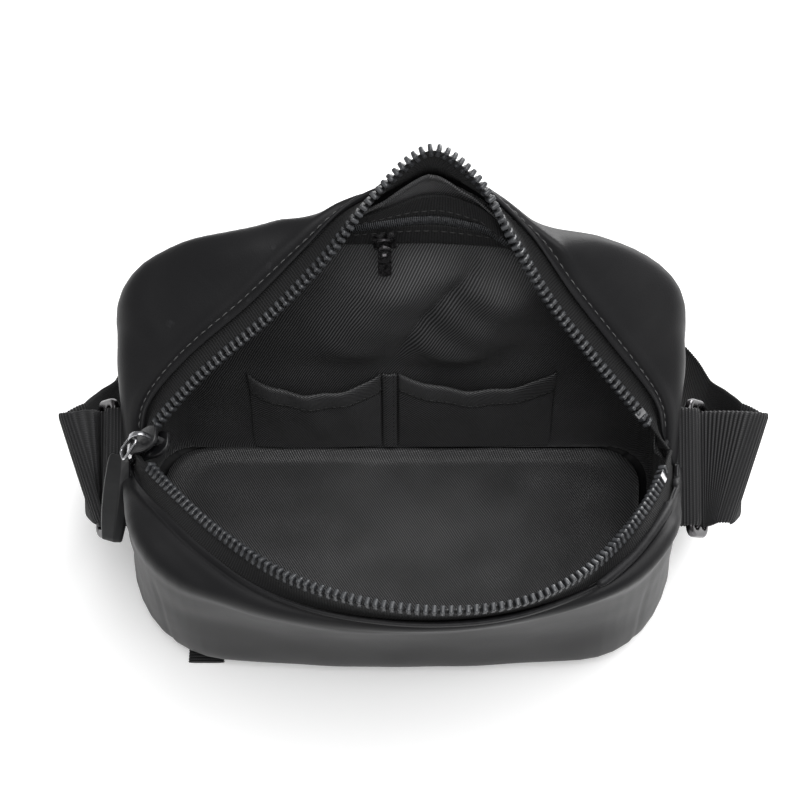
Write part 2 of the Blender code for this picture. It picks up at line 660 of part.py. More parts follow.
def make_pocket_slider(centre, up):
    """A small slider over the chain at its left end, with a leaf pull hanging from it."""
    index = len(centre) // 3
    along = Vector(unit(centre[index + 1] - centre[index]))
    rise = Vector(up[index])
    into = along.cross(rise)
    into = into if into.y < 0 else -into
    body = bmesh.new()
    seat = Vector(centre[index]) + into * 0.0024
    box_at(body, seat, (along, rise, into), (0.0070, 0.0050, 0.0020))
    add_object("pocket_slider", mesh_of("pocket_slider", body), GUNMETAL)
    hang = seat + into * 0.0026 - Vector((0.0, 0.0, 0.0070))
    ring = rounded(0.0021, 0.0072, 0.0016, 3)
    hole = rounded(0.0011, 0.0011, 0.0006, 3)
    hole = [(x, y + 0.0045) for x, y in hole]
    turn = Matrix(((1, 0, 0), (0, 0, -1), (0, 1, 0))).to_4x4()
    slab("pocket_pull", [ring, hole], 0.0010, GUNMETAL, Matrix.Translation(hang) @ turn)


# ---- strap -----------------------------------------------------------------------------------
def strap_axes():
    """Crosswise direction of the webbing at the tab, and the way its outer face looks."""
    across = Vector((0.0, math.cos(STRAP_TILT), math.sin(STRAP_TILT)))
    return across, Vector((0.0, -math.sin(STRAP_TILT), math.cos(STRAP_TILT)))


def strap_point(hand, x, rise):
    """A point of the strap's side view: x out from the gusset, rise along its outer face."""
    _, out = strap_axes()
    return Vector((hand * (HALF_WIDTH + 0.001 + x), TAB_CENTRE.y, TAB_CENTRE.z)) + out * rise


def bar_points():
    """Centres of the buckle's three bars in the strap's side view."""
    step = (math.cos(BUCKLE_DROOP) * BUCKLE_PITCH / 2, -math.sin(BUCKLE_DROOP) * BUCKLE_PITCH / 2)
    return [(TAB_REACH + step[0] * n, step[1] * n) for n in range(3)]


def loop_radius():
    """From a bar's middle to the middle of the webbing round it, clear of the bar's corners."""
    return BAR_THICKNESS / 2 * math.sqrt(2) + STRAP_CLEARANCE + WEBBING_THICKNESS / 2


def make_tab(hand, word):
    """The webbing loop that is sewn into the end seam and holds the buckle's inner bar."""
    across, _ = strap_axes()
    radius = loop_radius()
    bar_x, bar_rise = bar_points()[0]
    turns = np.linspace(math.pi / 2, -math.pi / 2, 7)
    side_view = [(0.0004, radius)]
    side_view += [(bar_x + radius * math.cos(t), bar_rise + radius * math.sin(t)) for t in turns]
    side_view.append((0.0004, -radius))
    centres = [strap_point(hand, x, rise) for x, rise in side_view]
    ribbon(word + "_strap_tab", centres, across, WEBBING_WIDTH, WEBBING_THICKNESS, WEBBING)


def make_buckle(hand, word):
    """A three-bar buckle: the tab holds its inner bar and the strap its outer one."""
    across, out = strap_axes()
    (inner_x, inner_rise), _, (outer_x, outer_rise) = bar_points()
    short = (strap_point(hand, outer_x, outer_rise) - strap_point(hand, inner_x, inner_rise)).normalized()
    centre = strap_point(hand, (inner_x + outer_x) / 2, (inner_rise + outer_rise) / 2)
    half_short = BUCKLE_PITCH / 2 + BAR_THICKNESS / 2
    half_long = WEBBING_WIDTH / 2 + STRAP_CLEARANCE + BUCKLE_RAIL
    slot = (BUCKLE_PITCH / 2 - BAR_THICKNESS) / 2
    outline = [rounded(half_long, half_short, 0.0035, 5)]
    for sign in (-1, 1):
        hole = rounded(WEBBING_WIDTH / 2 + STRAP_CLEARANCE, slot, 0.0010, 3)
        outline.append([(x, y + sign * BUCKLE_PITCH / 4) for x, y in hole])
    normal = across.cross(short)
    turn = Matrix((across, short, normal)).transposed().to_4x4()
    slab(word + "_buckle", outline, BAR_THICKNESS, GUNMETAL, Matrix.Translation(centre) @ turn)


def make_strap_end(hand, word, reach):
    """The end of the strap: round the buckle's outer bar, out, over its roll and a little way down."""
    across, _ = strap_axes()
    radius = loop_radius()
    bar_x, bar_rise = bar_points()[2]
    side_view = [(bar_x + radius * math.cos(t), bar_rise + radius * math.sin(t))
                 for t in np.linspace(-0.90 * math.pi, -1.50 * math.pi, 7)]
    roll_x = TAB_REACH + reach - STRAP_ROLL
    side_view += [(roll_x + STRAP_ROLL * math.sin(t), STRAP_ROLL_RISE + STRAP_ROLL * math.cos(t))
                  for t in np.linspace(-0.1 * math.pi, math.pi / 2, 7)]
    centres = [strap_point(hand, x, rise) for x, rise in side_view]
    ribbon(word + "_strap_end", centres, across, WEBBING_WIDTH, WEBBING_THICKNESS, WEBBING)


def strap_run_line(hand, reach):
    """From under the roll down to the surface on edge, and round behind the bag."""
    start = strap_point(hand, TAB_REACH + reach, STRAP_ROLL_RISE - STRAP_JOIN_GAP)
    out = abs(start.x)
    rest = WEBBING_WIDTH / 2 + HANK_LIFT
    points = [tuple(start), (hand * (out - 0.001), start.y + 0.007, 0.044), (hand * (out - 0.004), 0.028, 0.030),
              (hand * (out - 0.008), 0.042, rest + 0.001), (hand * (out - 0.013), 0.056, rest),
              (hand * (out - 0.024), 0.0650, rest), (hand * (HANK_LENGTH / 2 + 0.001), HANK_START + 0.006, rest)]
    across, _ = strap_axes()
    ways = [tuple(across), (0.0, 0.80, 0.60), (0.0, 0.55, 0.84), (0.0, 0.18, 0.98), (0, 0, 1), (0, 0, 1), (0, 0, 1)]
    count = 22
    marks = np.linspace(0.0, 1.0, len(ways))
    turned = [np.interp(np.linspace(0.0, 1.0, count), marks, column) for column in np.array(ways, float).T]
    return curve_through(points, count), unit(np.stack(turned, axis=1))


def make_strap_run(hand, word, reach):
    centres, ways = strap_run_line(hand, reach)
    ribbon(word + "_strap_run", centres, ways, WEBBING_WIDTH, WEBBING_THICKNESS, WEBBING)


def make_hank():
    """The rest of the strap, folded to and fro on its edge behind the bag, and the tie round it."""
    middle = HANK_START + HANK_DEPTH / 2
    rest = WEBBING_WIDTH / 2 + HANK_LIFT
    place = Matrix.Translation((0.0, middle, rest))
    ring = rounded(HANK_LENGTH / 2, HANK_DEPTH / 2, HANK_DEPTH / 2 - 0.001, 7)
    slab("strap_hank", [ring], WEBBING_WIDTH, WEBBING, place)
    spare = LAYER_GAP + TIE_THICKNESS
    outer = rounded(HANK_DEPTH / 2 + spare, WEBBING_WIDTH / 2 + spare, 0.0020, 3)
    inner = rounded(HANK_DEPTH / 2 + LAYER_GAP, WEBBING_WIDTH / 2 + LAYER_GAP, 0.0010, 3)
    turn = Matrix(((0, 0, 1), (1, 0, 0), (0, 1, 0))).to_4x4()
    slab("strap_tie", [outer, inner], TIE_WIDTH, TAPE, Matrix.Translation((0.0, middle, rest)) @ turn)


def main():
    make_walls()
    make_floor()
    for side, word in ((-1, "front"), (1, "rear")):
        make_lip(side, word)
    make_stops()
    make_slider("zip_slider", slider_place(), SLIDER_LENGTH, SLIDER_WIDTH, SLIDER_PLATE, SLIDER_GAP, GUNMETAL)
    make_pull()
    make_slip_pockets()
    make_zip_pocket()
    for hand, word, reach in ((-1, "left", LEFT_STRAP_REACH), (1, "right", RIGHT_STRAP_REACH)):
        make_tab(hand, word)
        make_buckle(hand, word)
        make_strap_end(hand, word, reach)
        make_strap_run(hand, word, reach)
    make_hank()


main()
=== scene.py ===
"""Sling bag with its top zipper open: skins, seams, zipper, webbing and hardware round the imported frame.

Metres, +Z up, +Y to the back of the bag, origin in the middle of the base. The walls are one sewn
surface on each side of the mouth, measured by its share of the way along the zipper (0 at the left
end, 1 at the right) and its level (0 at the base, 3 at the shoulder, 4 at the fabric's edge).
"""

import json
import math

import bmesh
import bpy
import numpy as np
from mathutils import Matrix, Vector, noise


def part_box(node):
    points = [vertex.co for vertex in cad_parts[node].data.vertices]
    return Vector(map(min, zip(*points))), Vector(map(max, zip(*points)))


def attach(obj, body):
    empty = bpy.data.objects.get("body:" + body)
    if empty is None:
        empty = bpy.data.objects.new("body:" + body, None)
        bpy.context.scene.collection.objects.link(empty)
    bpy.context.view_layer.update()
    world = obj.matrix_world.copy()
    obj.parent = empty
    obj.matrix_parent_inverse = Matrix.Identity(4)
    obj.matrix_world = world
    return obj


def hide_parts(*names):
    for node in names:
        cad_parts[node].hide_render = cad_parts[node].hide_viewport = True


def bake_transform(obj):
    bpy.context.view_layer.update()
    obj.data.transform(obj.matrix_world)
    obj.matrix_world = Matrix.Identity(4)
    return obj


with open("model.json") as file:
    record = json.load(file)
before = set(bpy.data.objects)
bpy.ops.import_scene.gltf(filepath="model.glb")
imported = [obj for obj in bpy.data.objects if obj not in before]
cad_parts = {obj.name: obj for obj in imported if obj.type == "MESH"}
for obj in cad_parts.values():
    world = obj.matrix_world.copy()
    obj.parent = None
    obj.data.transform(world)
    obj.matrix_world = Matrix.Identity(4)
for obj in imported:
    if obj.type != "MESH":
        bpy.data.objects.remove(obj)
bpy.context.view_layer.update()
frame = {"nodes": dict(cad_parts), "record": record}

# ---- the bag's own sizes, the same as the frame's ---------------------------------------------
HALF_WIDTH = 0.0880
FRONT_TAPER = 0.062
REAR_FLARE = 0.026
FOOT_TAPER = 0.010
FOOT_BULGE = 0.0065
FOOT_RADIUS = 0.0300
REAR_CLIMB = 0.27
REAR_CROWN = 0.0045
FRONT_DEPTH = 0.0420
REAR_DEPTH = 0.0440
REAR_SHOULDER_DEPTH = 0.0500
REAR_SHOULDER_HEIGHT = 0.1110
FRONT_SHOULDER_HEIGHT = 0.0780
END_SHOULDER_HEIGHT = 0.0560
CORNER_RADIUS = 0.0200
BASE_TUCK = 0.0045
WALL_START_HEIGHT = 0.0020
ROLL_HEIGHT = 0.0120
WAIST_HEIGHT = 0.0450
FRONT_BULGE = 0.0230
MOUTH_HEIGHT = 0.0720
FRONT_LEAN = math.radians(69.0)
REAR_LEAN = math.radians(-32.3)
FRONT_LIP = [(-0.085, 0.0), (-0.068, 0.025), (-0.052, 0.044), (-0.033, 0.061), (-0.012, 0.071),
             (0.012, 0.075), (0.034, 0.0715), (0.052, 0.060), (0.066, 0.043), (0.078, 0.021), (0.085, 0.0)]
REAR_LIP = [(-0.085, 0.0), (-0.062, 0.0265), (-0.041, 0.0455), (-0.024, 0.0640), (-0.008, 0.0850),
            (0.009, 0.0990), (0.022, 0.0900), (0.033, 0.0715), (0.045, 0.0510), (0.060, 0.0310), (0.085, 0.0)]
PANEL_SPLIT = 0.165
FABRIC_START = 0.0062
SHARE_STEP = 0.002

# ---- layers of the wall, as depths inwards from the drawn surface -----------------------------
SHELL_THICKNESS = 0.0014
LIP_LIFT = 0.0026
PADDING_DEPTH = 0.0019
PADDING_THICKNESS = 0.0022
LINING_DEPTH = 0.0048
LINING_LIP_DEPTH = 0.0021
LINING_THICKNESS = 0.0005
TAPE_THICKNESS = 0.0008
# the turned edge's ridges and its sewn groove: height, distance from the edge, width
HEM_ROLL, HEM_GROOVE = (0.00045, 0.0010, 0.0010), (-0.00050, 0.0032, 0.0007)
HEM_SWELL = (0.00045, 0.0056, 0.0018)
PANEL_GROOVE, PANEL_GROOVE_WIDTH = 0.0003, 0.0012
UNEVENNESS = 0.0008

# ---- zipper -----------------------------------------------------------------------------------
TOOTH_PITCH = 0.0024
TOOTH_REACH = 0.0033
TOOTH_HEIGHT = 0.0024
COIL_HALF_WIDTH = 0.0017
COIL_RISE = 0.0007
COIL_WIRE = 0.00021
TEETH_START = 0.046
TEETH_END = 0.954
SLIDER_RADIUS = 0.0796
SLIDER_RISE = 0.0035
SLIDER_FACING = math.radians(45.0)
SLIDER_LENGTH = 0.0130
SLIDER_WIDTH = 0.0088
SLIDER_PLATE = 0.0016
SLIDER_GAP = 0.0034
BAIL_WIRE = 0.0008
BAIL_RISE = 0.0032
LINK_WIRE = 0.0006
LINK_THREAD = 0.00042
LINK_WIDTH = 0.0052
LINK_LENGTH = 0.0085
LINK_END = Vector((-0.0895, -0.0040, 0.0722))
PULL_END = Vector((-0.0930, -0.0232, 0.0527))
PULL_FACING = math.radians(22.0)
PULL_LENGTH = 0.0270
PULL_WIDTH = 0.0088
PULL_THICKNESS = 0.0040

# ---- pockets ----------------------------------------------------------------------------------
POCKET_FLOOR = 0.0100
POCKET_HEIGHT = 0.0440
POCKET_MOUTH = 0.0095
POCKET_SIDE = 0.30
POCKET_SPLIT = 0.484
DIVIDER_HALF = 0.0084
HEM_WIDTH = 0.0048
POCKET_ZIP_LEVEL = 3.30
POCKET_ZIP_START = 0.40
POCKET_ZIP_END = 0.63
POCKET_TAPE_LEVELS = 0.24
SEAM_PITCH = 0.0026

# ---- strap ------------------------------------------------------------------------------------
WEBBING_WIDTH = 0.0380
WEBBING_THICKNESS = 0.0014
STRAP_TILT = math.radians(25.0)
STRAP_SLANT = 0.34
TAB_CENTRE = Vector((0.0, 0.0015, 0.0580))
TAB_REACH = 0.0040
BAR_THICKNESS = 0.0026
BUCKLE_PITCH = 0.0120
BUCKLE_RAIL = 0.0030
BUCKLE_DROOP = math.radians(60.0)
STRAP_REACH = {"left": 0.0130, "right": 0.0205}
STRAP_ROLL = 0.0050
STRAP_ROLL_RISE = -0.0060
STRAP_CLEARANCE = 0.0006
STRAP_JOIN_GAP = 0.0030
HANK_MIDDLE_Y = 0.0750
HANK_DEPTH = 0.0300
TIE_WIDTH = 0.0120
HANK_REST = 0.0212
HANK_HALF_LENGTH = 0.0600
HANK_INNER = 0.0026
HANK_TURN = 0.0057
RIB_PITCH = 0.00105
HANDS = {"left": -1, "right": 1}


# ---- node trees -------------------------------------------------------------------------------
def put(tree, kind, sockets=None, **settings):
    """One node with its settings; a socket's value is a number, or another socket to link from."""
    made = tree.nodes.new(kind)
    for key, value in settings.items():
        setattr(made, key, value)
    for key, value in (sockets or {}).items():
        if isinstance(value, bpy.types.NodeSocket):
            tree.links.new(value, made.inputs[key])
        else:
            made.inputs[key].default_value = value
    return made


def maths(tree, operation, *values):
    """The result of a Math node."""
    return put(tree, "ShaderNodeMath", dict(enumerate(values)), operation=operation).outputs[0]


def ramp(tree, value, low, high):
    """0 below low, 1 above high, smooth between."""
    made = put(tree, "ShaderNodeMapRange", {"Value": value, "From Min": low, "From Max": high},
               interpolation_type="SMOOTHSTEP")
    return made.outputs["Result"]


def blend_colours(tree, factor, first, second):
    """A colour between two others; the Mix node has sockets of the same name for each kind of data."""
    mix = put(tree, "ShaderNodeMix", {"Factor": factor}, data_type="RGBA")
    tree_inputs = [socket for socket in mix.inputs if socket.type == "RGBA"]
    for socket, value in zip(tree_inputs, (first, second)):
        if isinstance(value, bpy.types.NodeSocket):
            tree.links.new(value, socket)
        else:
            socket.default_value = (*value, 1.0)
    return [socket for socket in mix.outputs if socket.type == "RGBA"][0]


def new_group(name, inputs, outputs):
    """A shader node group with named inputs and outputs."""
    tree = bpy.data.node_groups.new(name, "ShaderNodeTree")
    for label, kind, value in inputs:
        socket = tree.interface.new_socket(label, in_out="INPUT", socket_type=kind)
        if value is not None:
            socket.default_value = value
    for label, kind in outputs:
        tree.interface.new_socket(label, in_out="OUTPUT", socket_type=kind)
    return tree, put(tree, "NodeGroupInput").outputs, put(tree, "NodeGroupOutput").inputs


FLOAT, VECTOR = "NodeSocketFloat", "NodeSocketVector"
HEXAGON = np.linspace(0.0, 2 * math.pi, 6, endpoint=False)


def noise_of(tree, place, scale, detail, **extra):
    """Cloudy noise, 0 to 1."""
    sockets = {"Vector": place, "Scale": scale, "Detail": detail}
    sockets.update(extra)
    return put(tree, "ShaderNodeTexNoise", sockets).outputs["Fac"]


def stripes(tree, value, pitch):
    """A soft wave, 0 to 1, that repeats every pitch."""
    turns = maths(tree, "MULTIPLY", maths(tree, "DIVIDE", value, pitch), 2 * math.pi)
    return maths(tree, "MULTIPLY_ADD", maths(tree, "SINE", turns), 0.5, 0.5)


def twill_group():
    """Slanting ribs of a twill, cut across by the finer weft."""
    tree, given, result = new_group(
        "twill_weave",
        [("Vector", VECTOR, None), ("Rib pitch", FLOAT, 0.0008), ("Slant", FLOAT, 1.0),
         ("Weft pitch", FLOAT, 0.0004)],
        [("Height", FLOAT), ("Rib", FLOAT)])
    axes = put(tree, "ShaderNodeSeparateXYZ", {"Vector": given["Vector"]}).outputs
    drift = noise_of(tree, given["Vector"], 90.0, 1.0)
    along = maths(tree, "ADD", axes["X"], maths(tree, "MULTIPLY", drift, 0.0012))
    slanted = maths(tree, "SUBTRACT", along, maths(tree, "MULTIPLY", axes["Y"], given["Slant"]))
    rib = stripes(tree, slanted, given["Rib pitch"])
    crossing = maths(tree, "ADD", axes["Y"], maths(tree, "MULTIPLY", along, 0.4))
    weft = stripes(tree, crossing, given["Weft pitch"])
    tree.links.new(maths(tree, "MULTIPLY_ADD", weft, 0.3, rib), result["Height"])
    tree.links.new(maths(tree, "POWER", rib, 1.6), result["Rib"])
    return tree


def rib_group():
    """Crosswise ribs of a narrow woven band, each pinched by its lengthwise threads."""
    tree, given, result = new_group(
        "band_ribs",
        [("Vector", VECTOR, None), ("Rib pitch", FLOAT, 0.001), ("Thread pitch", FLOAT, 0.0007),
         ("Stagger", FLOAT, 0.5)],
        [("Height", FLOAT), ("Rib", FLOAT), ("Thread", FLOAT)])
    axes = put(tree, "ShaderNodeSeparateXYZ", {"Vector": given["Vector"]}).outputs
    row = maths(tree, "FLOOR", maths(tree, "DIVIDE", axes["X"], given["Rib pitch"]))
    shift = maths(tree, "MULTIPLY", maths(tree, "MULTIPLY", row, given["Stagger"]), given["Thread pitch"])
    rib = stripes(tree, axes["X"], given["Rib pitch"])
    thread = stripes(tree, maths(tree, "ADD", axes["Y"], shift), given["Thread pitch"])
    tree.links.new(maths(tree, "MULTIPLY_ADD", thread, 0.45, rib), result["Height"])
    tree.links.new(rib, result["Rib"])
    tree.links.new(thread, result["Thread"])
    return tree


def grain_group():
    """Fine pebble of a coating, with a slow change from place to place."""
    tree, given, result = new_group(
        "coating_grain",
        [("Vector", VECTOR, None), ("Pebble scale", FLOAT, 2600.0), ("Mottle scale", FLOAT, 28.0)],
        [("Height", FLOAT), ("Mottle", FLOAT), ("Speck", FLOAT)])
    pebble = put(tree, "ShaderNodeTexVoronoi", {"Vector": given["Vector"], "Scale": given["Pebble scale"]},
                 feature="SMOOTH_F1").outputs["Distance"]
    scratch = noise_of(tree, given["Vector"], 900.0, 3.0, Roughness=0.6)
    mottle = noise_of(tree, given["Vector"], given["Mottle scale"], 4.0)
    tree.links.new(maths(tree, "MULTIPLY_ADD", scratch, 0.5, pebble), result["Height"])
    tree.links.new(ramp(tree, mottle, 0.35, 0.68), result["Mottle"])
    tree.links.new(ramp(tree, scratch, 0.66, 0.74), result["Speck"])
    return tree


def wear_group():
    """Mask of edges that stand proud, broken up so that the rubbing looks uneven."""
    tree, given, result = new_group(
        "rubbed_edges",
        [("Vector", VECTOR, None), ("Start", FLOAT, 0.53), ("End", FLOAT, 0.62)],
        [("Mask", FLOAT)])
    proud = put(tree, "ShaderNodeNewGeometry").outputs["Pointiness"]
    breaks = ramp(tree, noise_of(tree, given["Vector"], 700.0, 4.0), 0.30, 0.62)
    rubbed = ramp(tree, proud, given["Start"], given["End"])
    tree.links.new(maths(tree, "MULTIPLY", rubbed, breaks), result["Mask"])
    return tree


TWILL, RIBS, GRAIN, WEAR = twill_group(), rib_group(), grain_group(), wear_group()


class Finish:
    """A material under construction: its tree, its shader and the coordinates that its pattern reads."""

    def __init__(self, name, roughness, metallic=0.0, laid="Object"):
        self.material = bpy.data.materials.new(name)
        self.material.use_nodes = True
        self.tree = self.material.node_tree
        self.shader = self.tree.nodes["Principled BSDF"]
        self.shader.inputs["Roughness"].default_value = roughness
        self.shader.inputs["Metallic"].default_value = metallic
        if laid == "Object":
            self.place = put(self.tree, "ShaderNodeTexCoord").outputs["Object"]
        else:
            self.place = put(self.tree, "ShaderNodeUVMap", uv_map=laid).outputs["UV"]

    def group(self, tree, **values):
        sockets = {"Vector": self.place}
        sockets.update({key.replace("_", " "): value for key, value in values.items()})
        made = self.tree.nodes.new("ShaderNodeGroup")
        made.node_tree = tree
        for key, value in sockets.items():
            if isinstance(value, bpy.types.NodeSocket):
                self.tree.links.new(value, made.inputs[key])
            else:
                made.inputs[key].default_value = value
        return made.outputs

    def link(self, value, label):
        self.tree.links.new(value, self.shader.inputs[label])

    def colour(self, factor, first, second):
        self.link(blend_colours(self.tree, factor, first, second), "Base Color")

    def tint(self, mask, share, under, over):
        """The colour over, laid on the colour under where the mask is, by this share at most."""
        self.colour(maths(self.tree, "MULTIPLY", mask, share), under, over)

    def bump(self, height, distance, strength=1.0, over=None):
        sockets = {"Height": height, "Distance": distance, "Strength": strength}
        if over is not None:
            sockets["Normal"] = over
        normal = put(self.tree, "ShaderNodeBump", sockets).outputs["Normal"]
        self.link(normal, "Normal")
        return normal

    def vary_roughness(self, mask, low, high):
        made = put(self.tree, "ShaderNodeMapRange", {"Value": mask, "To Min": low, "To Max": high})
        self.link(made.outputs["Result"], "Roughness")


def coated_cloth():
    """Black coated fabric: soft sheen, very fine pebble, faint clouding and rubbed high places."""
    made = Finish("coated_cloth", 0.5)
    grain = made.group(GRAIN, Pebble_scale=2400.0, Mottle_scale=22.0)
    wear = made.group(WEAR, Start=0.515, End=0.60)["Mask"]
    base = blend_colours(made.tree, grain["Mottle"], (0.0100, 0.0100, 0.0108), (0.0135, 0.0133, 0.0140))
    made.tint(wear, 0.35, base, (0.030, 0.030, 0.032))
    made.vary_roughness(grain["Mottle"], 0.42, 0.49)
    made.bump(grain["Height"], 0.00006, 0.55)
    made.shader.inputs["Specular IOR Level"].default_value = 0.14
    made.shader.inputs["Sheen Roughness"].default_value = 0.5
    return made.material


def lining_cloth():
    """Black twill lining with a silky face, its sheen painted into the colour: rib crests far lighter than
    the grooves.
    """
    made = Finish("lining_cloth", 0.36, laid="Cloth")
    weave = made.group(TWILL, Rib_pitch=0.00086, Slant=-0.62, Weft_pitch=0.00041)
    grain = made.group(GRAIN, Pebble_scale=1500.0, Mottle_scale=30.0)
    # Painted sheen and shade: the rib crests are coloured far lighter than the grooves, bright enough to make
    # up for the shade inside the bag.
    rib = blend_colours(made.tree, weave["Rib"], (0.0060, 0.0060, 0.0065), (0.1000, 0.1000, 0.1030))
    made.tint(grain["Mottle"], 0.35, rib, (0.007, 0.007, 0.0075))
    made.vary_roughness(weave["Rib"], 0.52, 0.34)
    made.bump(weave["Height"], 0.00016, 0.8)
    made.shader.inputs["Sheen Weight"].default_value = 0.04
    made.shader.inputs["Specular IOR Level"].default_value = 0.45
    return made.material


def woven_band(name, dark, light, rib_pitch, thread_pitch, depth, roughness):
    """Ribbed narrow fabric, for webbing and zipper tape, with highlights painted on its crests."""
    made = Finish(name, roughness, laid="Cloth")
    ribs = made.group(RIBS, Rib_pitch=rib_pitch, Thread_pitch=thread_pitch, Stagger=0.5)
    fuzz = made.group(GRAIN, Pebble_scale=5200.0, Mottle_scale=60.0)
    thread = maths(made.tree, "MULTIPLY_ADD", ribs["Thread"], 0.5, 0.5)
    # Painted highlight and shade: the crests of the ribs and threads are coloured lighter, the hollows
    # between them darker.
    face = blend_colours(made.tree, maths(made.tree, "MULTIPLY", ribs["Rib"], thread), dark, light)
    made.tint(fuzz["Speck"], 0.4, face, [2.2 * c for c in light])
    made.vary_roughness(ribs["Rib"], roughness + 0.1, roughness - 0.08)
    coarse = made.bump(ribs["Height"], depth, 0.9)
    made.bump(fuzz["Height"], 0.00004, 0.5, over=coarse)
    made.shader.inputs["Sheen Weight"].default_value = 0.03
    made.shader.inputs["Specular IOR Level"].default_value = 0.28
    return made.material


def moulded(name, colour, worn_colour, roughness, pebble=1800.0):
    """Moulded plastic or rubber: slight pebble and paler rubbed edges."""
    made = Finish(name, roughness)
    grain = made.group(GRAIN, Pebble_scale=pebble, Mottle_scale=140.0)
    wear = made.group(WEAR, Start=0.52, End=0.60)["Mask"]
    base = blend_colours(made.tree, grain["Mottle"], colour, [0.8 * c for c in colour])
    made.tint(wear, 0.6, base, worn_colour)
    made.vary_roughness(grain["Mottle"], roughness - 0.05, roughness + 0.07)
    made.bump(grain["Height"], 0.00003, 0.4)
    return made.material


def plated(name, colour, worn_colour, roughness):
    """Plated metal with fine brushing and brighter rubbed edges."""
    made = Finish(name, roughness, 1.0)
    stretch = put(made.tree, "ShaderNodeMapping", {"Vector": made.place, "Scale": (1.0, 1.0, 14.0)})
    brushed = noise_of(made.tree, stretch.outputs["Vector"], 420.0, 3.0)
    wear = made.group(WEAR, Start=0.52, End=0.60)["Mask"]
    base = blend_colours(made.tree, brushed, colour, [0.82 * c for c in colour])
    made.tint(wear, 0.7, base, worn_colour)
    made.vary_roughness(brushed, roughness - 0.05, roughness + 0.08)
    made.bump(brushed, 0.00002, 0.3)
    return made.material


def thread_finish(name, dark, light):
    made = Finish(name, 0.6)
    sockets = {"Vector": made.place, "Scale": 900.0, "Distortion": 2.0}
    twist = put(made.tree, "ShaderNodeTexWave", sockets).outputs["Fac"]
    made.colour(twist, (dark, dark, dark), (light, light, light))
    made.bump(twist, 0.00004, 0.6)
    return made.material


def foam_finish():
    made = Finish("padding_foam", 0.9)
    grain = made.group(GRAIN, Pebble_scale=1300.0, Mottle_scale=40.0)
    made.colour(grain["Mottle"], (0.16, 0.16, 0.17), (0.24, 0.24, 0.25))
    made.bump(grain["Height"], 0.0002, 0.8)
    return made.material


def board_finish():
    made = Finish("stiff_board", 0.8)
    grain = made.group(GRAIN, Pebble_scale=700.0, Mottle_scale=35.0)
    made.colour(grain["Speck"], (0.09, 0.088, 0.085), (0.13, 0.13, 0.125))
    made.bump(grain["Height"], 0.0001, 0.5)
    return made.material


COATED = coated_cloth()
LINING = lining_cloth()
# The light colours of the webbing and the tape are painted highlights on their rib crests.
WEB = woven_band("strap_webbing", (0.0035, 0.0035, 0.0040), (0.022, 0.022, 0.0235), rib_pitch=RIB_PITCH,
                 thread_pitch=0.00075, depth=0.00018, roughness=0.62)
TAPE = woven_band("zipper_tape_weave", (0.0025, 0.0025, 0.0028), (0.0090, 0.0090, 0.0096), rib_pitch=0.0009,
                  thread_pitch=0.0006, depth=0.00012, roughness=0.72)
TEETH = moulded("teeth_plastic", (0.026, 0.027, 0.030), (0.070, 0.073, 0.078), 0.36)
RUBBER = moulded("pull_rubber", (0.0045, 0.0047, 0.0054), (0.016, 0.017, 0.019), 0.42, 2600.0)
GUNMETAL = plated("gunmetal_plating", (0.055, 0.053, 0.056), (0.45, 0.44, 0.45), 0.24)
BRIGHT = plated("bright_plating", (0.42, 0.42, 0.44), (0.85, 0.85, 0.86), 0.22)
THREAD = thread_finish("stitch_thread", 0.004, 0.016)
# Thread of the rear edge stitches, coloured light so that the stitches show as glints: a painted glint.
GLINT_PAINTED_THREAD = thread_finish("pale_stitch_thread", 0.02, 0.10)
ENAMEL = moulded("slider_enamel", (0.0075, 0.0075, 0.0085), (0.06, 0.06, 0.062), 0.30)
FOAM = foam_finish()
BOARD = board_finish()
SLOT_FINISH = {"coated_fabric": COATED, "lining_twill": LINING, "foam": FOAM, "board": BOARD,
               "zipper_tape": TAPE, "moulded_teeth": TEETH, "gunmetal": GUNMETAL, "bright_metal": BRIGHT,
               "soft_rubber": RUBBER, "webbing": WEB}


# ---- curves and the drawn surface -------------------------------------------------------------
def unit(vectors):
    return vectors / np.linalg.norm(vectors, axis=-1, keepdims=True)


def evenly(line, shares):
    """Points at the given shares of a polyline's length."""
    run = run_along(line)
    return at_marks(np.asarray(shares) * run[-1], run, line)


def at_marks(marks, run, table):
    """Rows of a table, in between where the marks fall between its runs."""
    return np.stack([np.interp(marks, run, column) for column in table.T], axis=1)


def run_along(line):
    """Length of a polyline up to each of its points."""
    return np.concatenate([[0.0], np.cumsum(np.linalg.norm(np.diff(line, axis=0), axis=1))])


def curve_through(points, count):
    """Evenly spaced points on a smooth curve through the given ones (centripetal knots)."""
    points = np.asarray(points, float)
    steps = np.linalg.norm(np.diff(points, axis=0), axis=1) ** 0.5
    knots = np.concatenate([[0.0], np.cumsum(steps)])
    dense = np.linspace(0.0, knots[-1], 40 * len(points))
    slopes = np.gradient(points, knots, axis=0)
    cell = np.clip(np.searchsorted(knots, dense, side="right") - 1, 0, len(points) - 2)
    width = knots[cell + 1] - knots[cell]
    t = ((dense - knots[cell]) / width)[:, None]
    line = (points[cell] * (2 * t**3 - 3 * t**2 + 1) + slopes[cell] * width[:, None] * (t**3 - 2 * t**2 + t)
            + points[cell + 1] * (3 * t**2 - 2 * t**3) + slopes[cell + 1] * width[:, None] * (t**3 - t**2))
    return evenly(line, np.linspace(0.0, 1.0, count))


def lip_line(side, shares):
    """The row of teeth of one lip, from the zipper's left end to its right end."""
    controls, lean = (FRONT_LIP, FRONT_LEAN) if side < 0 else (REAR_LIP, REAR_LEAN)
    flat = curve_through(controls, 400)
    heights = MOUTH_HEIGHT + math.cos(lean) * flat[:, 1]
    line = np.stack([flat[:, 0], -math.sin(lean) * flat[:, 1], heights], axis=1)
    return evenly(line, shares)


